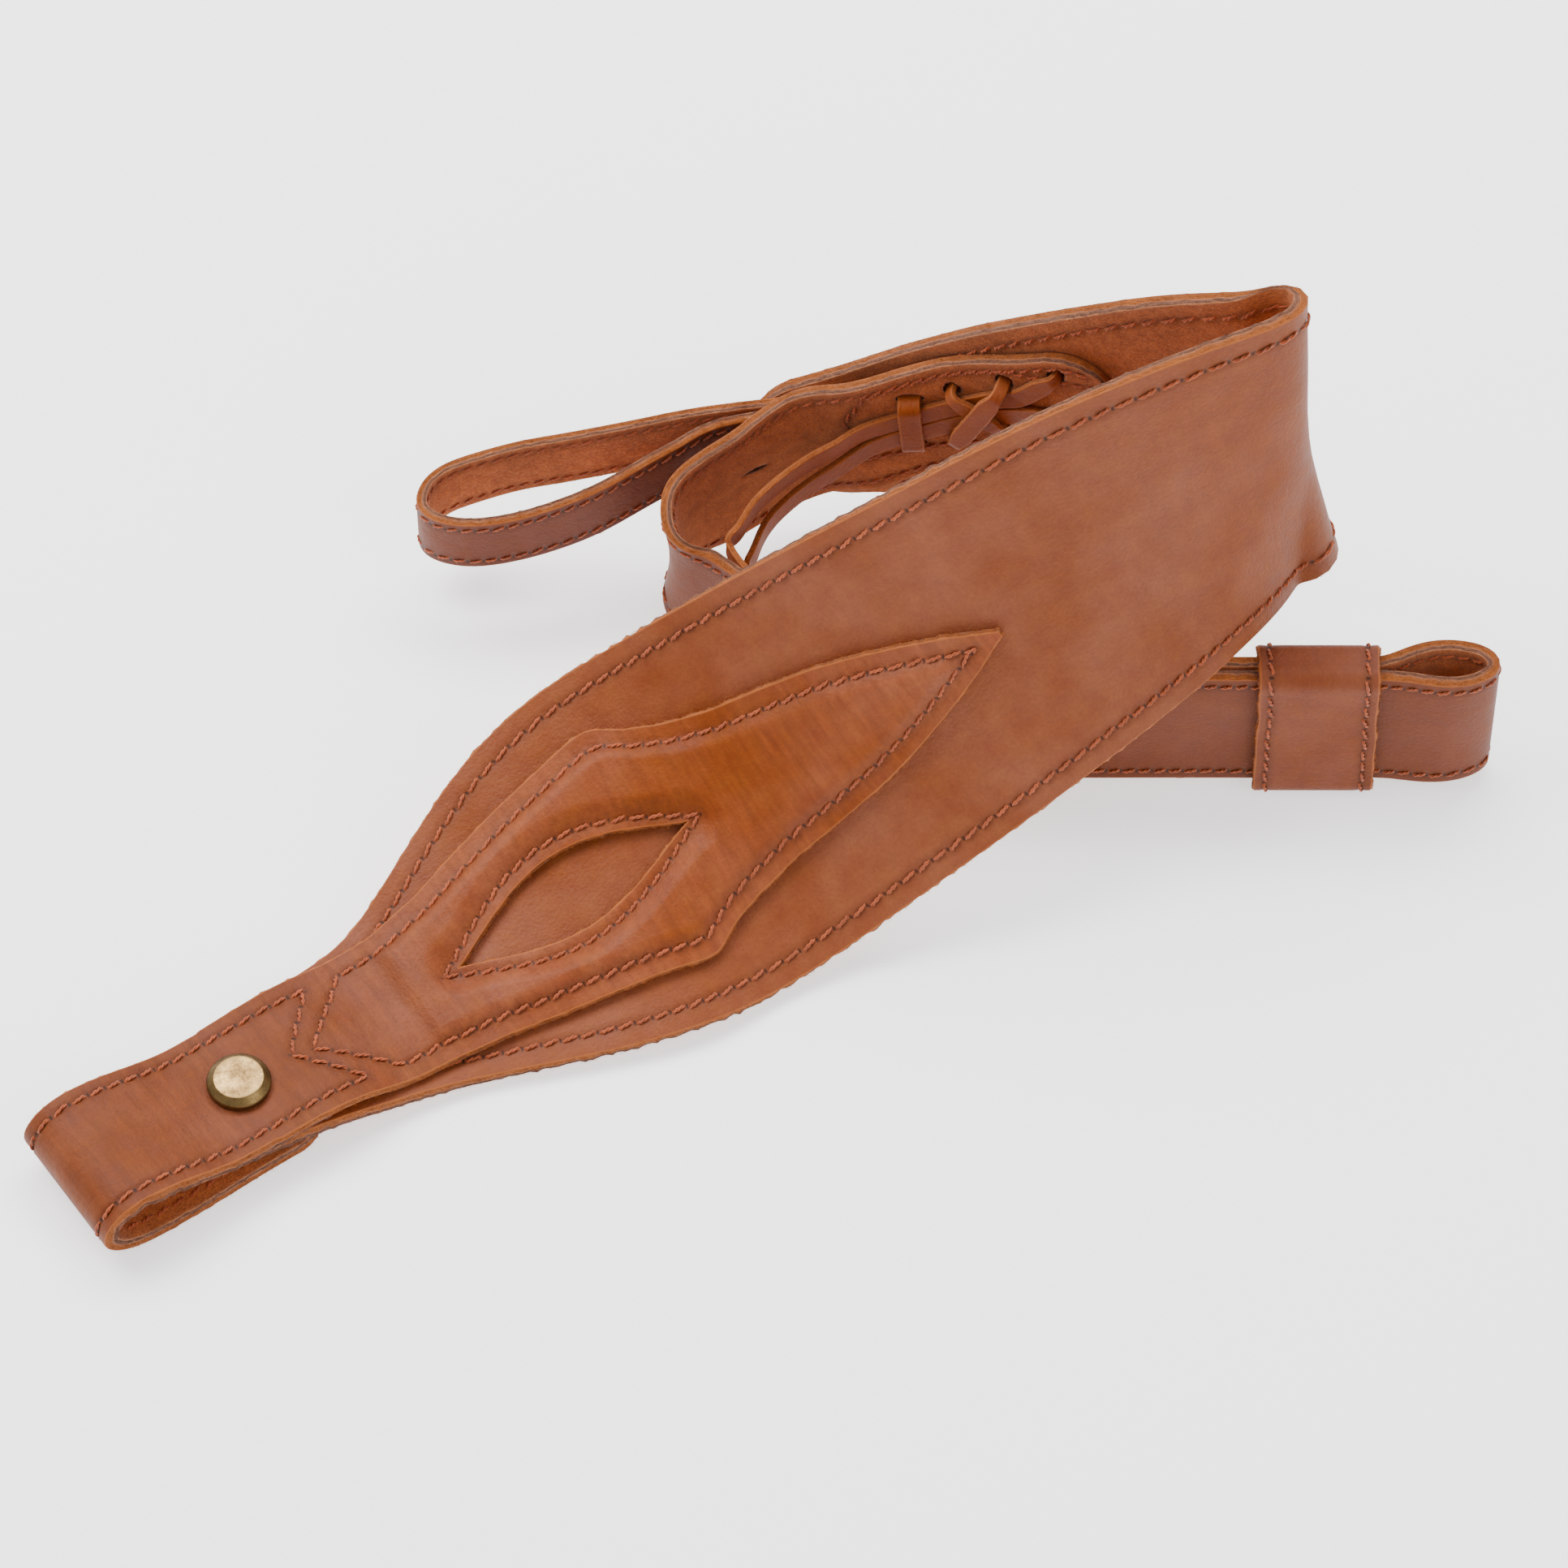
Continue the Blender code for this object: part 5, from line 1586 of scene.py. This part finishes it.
def make_stud(shoulder, look):
    """The stud's cap: a low crown with a chamfered rim, and the post under it."""
    stud = shoulder.spot(STUD_PLACE)
    low = float(stud[2]) + CAP_LIFT
    top = low + STUD_CAP_THICK
    radius = STUD_CAP_RADIUS
    profile = [(POST_RADIUS, POST_LOW), (POST_RADIUS, low), (radius - 0.5, low), (radius - 0.12, low + 0.08)]
    profile.append((radius, low + 0.3))
    profile += [(radius - inside, top + height) for inside, height in CAP_PROFILE]
    angles = np.linspace(0, 2 * np.pi, CAP_SIDES, endpoint=False)
    points = []
    for reach, height in profile:
        points += [(stud[0] + reach * np.cos(a), stud[1] + reach * np.sin(a), height) for a in angles]
    points.append((stud[0], stud[1], top))
    faces = []
    for ring in range(len(profile) - 1):
        for k in range(CAP_SIDES):
            after = (k + 1) % CAP_SIDES
            here, there = ring * CAP_SIDES, (ring + 1) * CAP_SIDES
            faces.append((here + k, here + after, there + after, there + k))
    last = (len(profile) - 1) * CAP_SIDES
    faces += [(last + k, last + (k + 1) % CAP_SIDES, len(points) - 1) for k in range(CAP_SIDES)]
    rims = [face < CAP_SIDES * CROWN_RING for face in range(len(faces))]
    made = raw_mesh("stud_button", points, faces, [look["brass"], look["brass_rim"]], rims, {})
    take(made, ["stud_cap"], "antique_brass")
    for place in frame["nodes"]["stud_screw"].material_slots:
        place.material = look["brass"]


# ---- surroundings --------------------------------------------------------------------------------


# The camera, in metres, millimetres and degrees.
CAMERA_AWAY = 2.0038
CAMERA_LENS = 195.7
CAMERA_SENSOR = 36.0
CAMERA_DOWN = 55.0
# The tabletop, in metres, and how much it glows to stay pale.
STAGE_HALF = 6.0
STAGE_DROP = 0.0003
FLOOR_GLOW = 1.0
# The light of the room, the point that the lamps face, and each lamp: name, place, size, power and colour.
ROOM_LIGHT = 0.7
LIT = (0.0, 0.0, 0.02)
LIGHTS = [
    ("key", (-0.75, 0.35, 1.25), (0.9, 0.7), 25.0, (1.0, 0.985, 0.96)),
    ("top", (0.15, 0.75, 1.2), (1.2, 0.5), 19.0, (1.0, 1.0, 1.0)),
    ("fill", (0.9, -0.7, 0.8), (0.9, 0.9), 7.0, (1.0, 1.0, 1.0)),
]


def make_stage():
    mesh = bpy.data.meshes.new("tabletop")
    corners = [(x * STAGE_HALF, y * STAGE_HALF, 0) for x, y in ((-1, -1), (1, -1), (1, 1), (-1, 1))]
    mesh.from_pydata(corners, [], [(0, 1, 2, 3)])
    floor = add_object("tabletop", mesh)
    floor.location.z = -STAGE_DROP
    graph = Graph("white_paper")
    graph.set(
        Base_Color=tone(0.97, 0.97, 0.97),
        Roughness=0.8,
        Specular_IOR_Level=0.1,
        Emission_Color=tone(1.0, 1.0, 1.0),
        Emission_Strength=FLOOR_GLOW,
    )
    mesh.materials.append(graph.material)
    studio = bpy.data.worlds.new("studio")
    studio.use_nodes = True
    back = studio.node_tree.nodes["Background"]
    back.inputs["Color"].default_value = tone(1.0, 1.0, 1.0)
    back.inputs["Strength"].default_value = ROOM_LIGHT
    bpy.context.scene.world = studio


def make_lights():
    for name, spot, size, power, colour in LIGHTS:
        light = bpy.data.lights.new(name, "AREA")
        light.shape = "RECTANGLE"
        light.size, light.size_y = size
        light.energy = power
        light.color = colour
        made = add_object(name, light)
        made.location = spot
        made.rotation_euler = (Vector(LIT) - Vector(spot)).to_track_quat("-Z", "Y").to_euler()


def make_camera():
    """Looks down from in front, as far off as a long lens needs."""
    data = bpy.data.cameras.new("camera")
    data.lens = CAMERA_LENS
    data.sensor_width = CAMERA_SENSOR
    data.clip_end = 20.0
    made = add_object("camera", data)
    slope = math.radians(CAMERA_DOWN)
    forward = Vector((0.0, math.cos(slope), -math.sin(slope)))
    made.location = Vector(world((0.0, 0.0, 0.0)).tolist()) - forward * CAMERA_AWAY
    made.rotation_euler = (math.radians(90 - CAMERA_DOWN), 0.0, 0.0)
    bpy.context.scene.camera = made


def make_looks():
    return {
        "shoulder": leather("shoulder_grain", SHOULDER_TONE, 0.03, 0.50),
        "tab": leather("tab_grain", TAB_TONE, 0.15, 0.52, TAB_PAINTED_SHADE),
        "tail": leather("tail_grain", TAIL_TONE, 0.03, 0.52),
        "hand": leather("hand_grain", HAND_TONE, 0.03, 0.52),
        "keeper": leather("keeper_grain", KEEPER_TONE, 0.05, 0.52),
        "lace": leather("lace_grain", LACE_TONE, 0.03, 0.5),
        "suede": suede("napped_suede", SUEDE_TONE),
        "flesh": suede("flesh_side", (0.40, 0.11, 0.03)),
        "edge": cut_edge("raw_edge", EDGE_TONE),
        "grey_edge": cut_edge("suede_edge", EDGE_GREY, 0.6),
        "lace_edge": cut_edge("lace_edge", (0.46, 0.12, 0.02)),
        "thread": thread_material(),
        "brass": brass("aged_brass", (0.46, 0.29, 0.11), (0.20, 0.115, 0.042)),
        "brass_rim": brass("dark_brass", (0.20, 0.125, 0.045), (0.06, 0.034, 0.012)),
    }


def build():
    shoulder = shoulder_track()
    tail, inner_end = tail_track(shoulder)
    look = make_looks()
    make_shoulder(shoulder, tail, look)
    make_tab(tab_track(shoulder), shoulder, look)
    make_tail(tail, look)
    make_hand(hand_track(shoulder), look)
    make_keeper(tail, look)
    make_lacing(tail, inner_end, look)
    make_stud(shoulder, look)
    make_camera()
    make_lights()
    make_stage()


build()
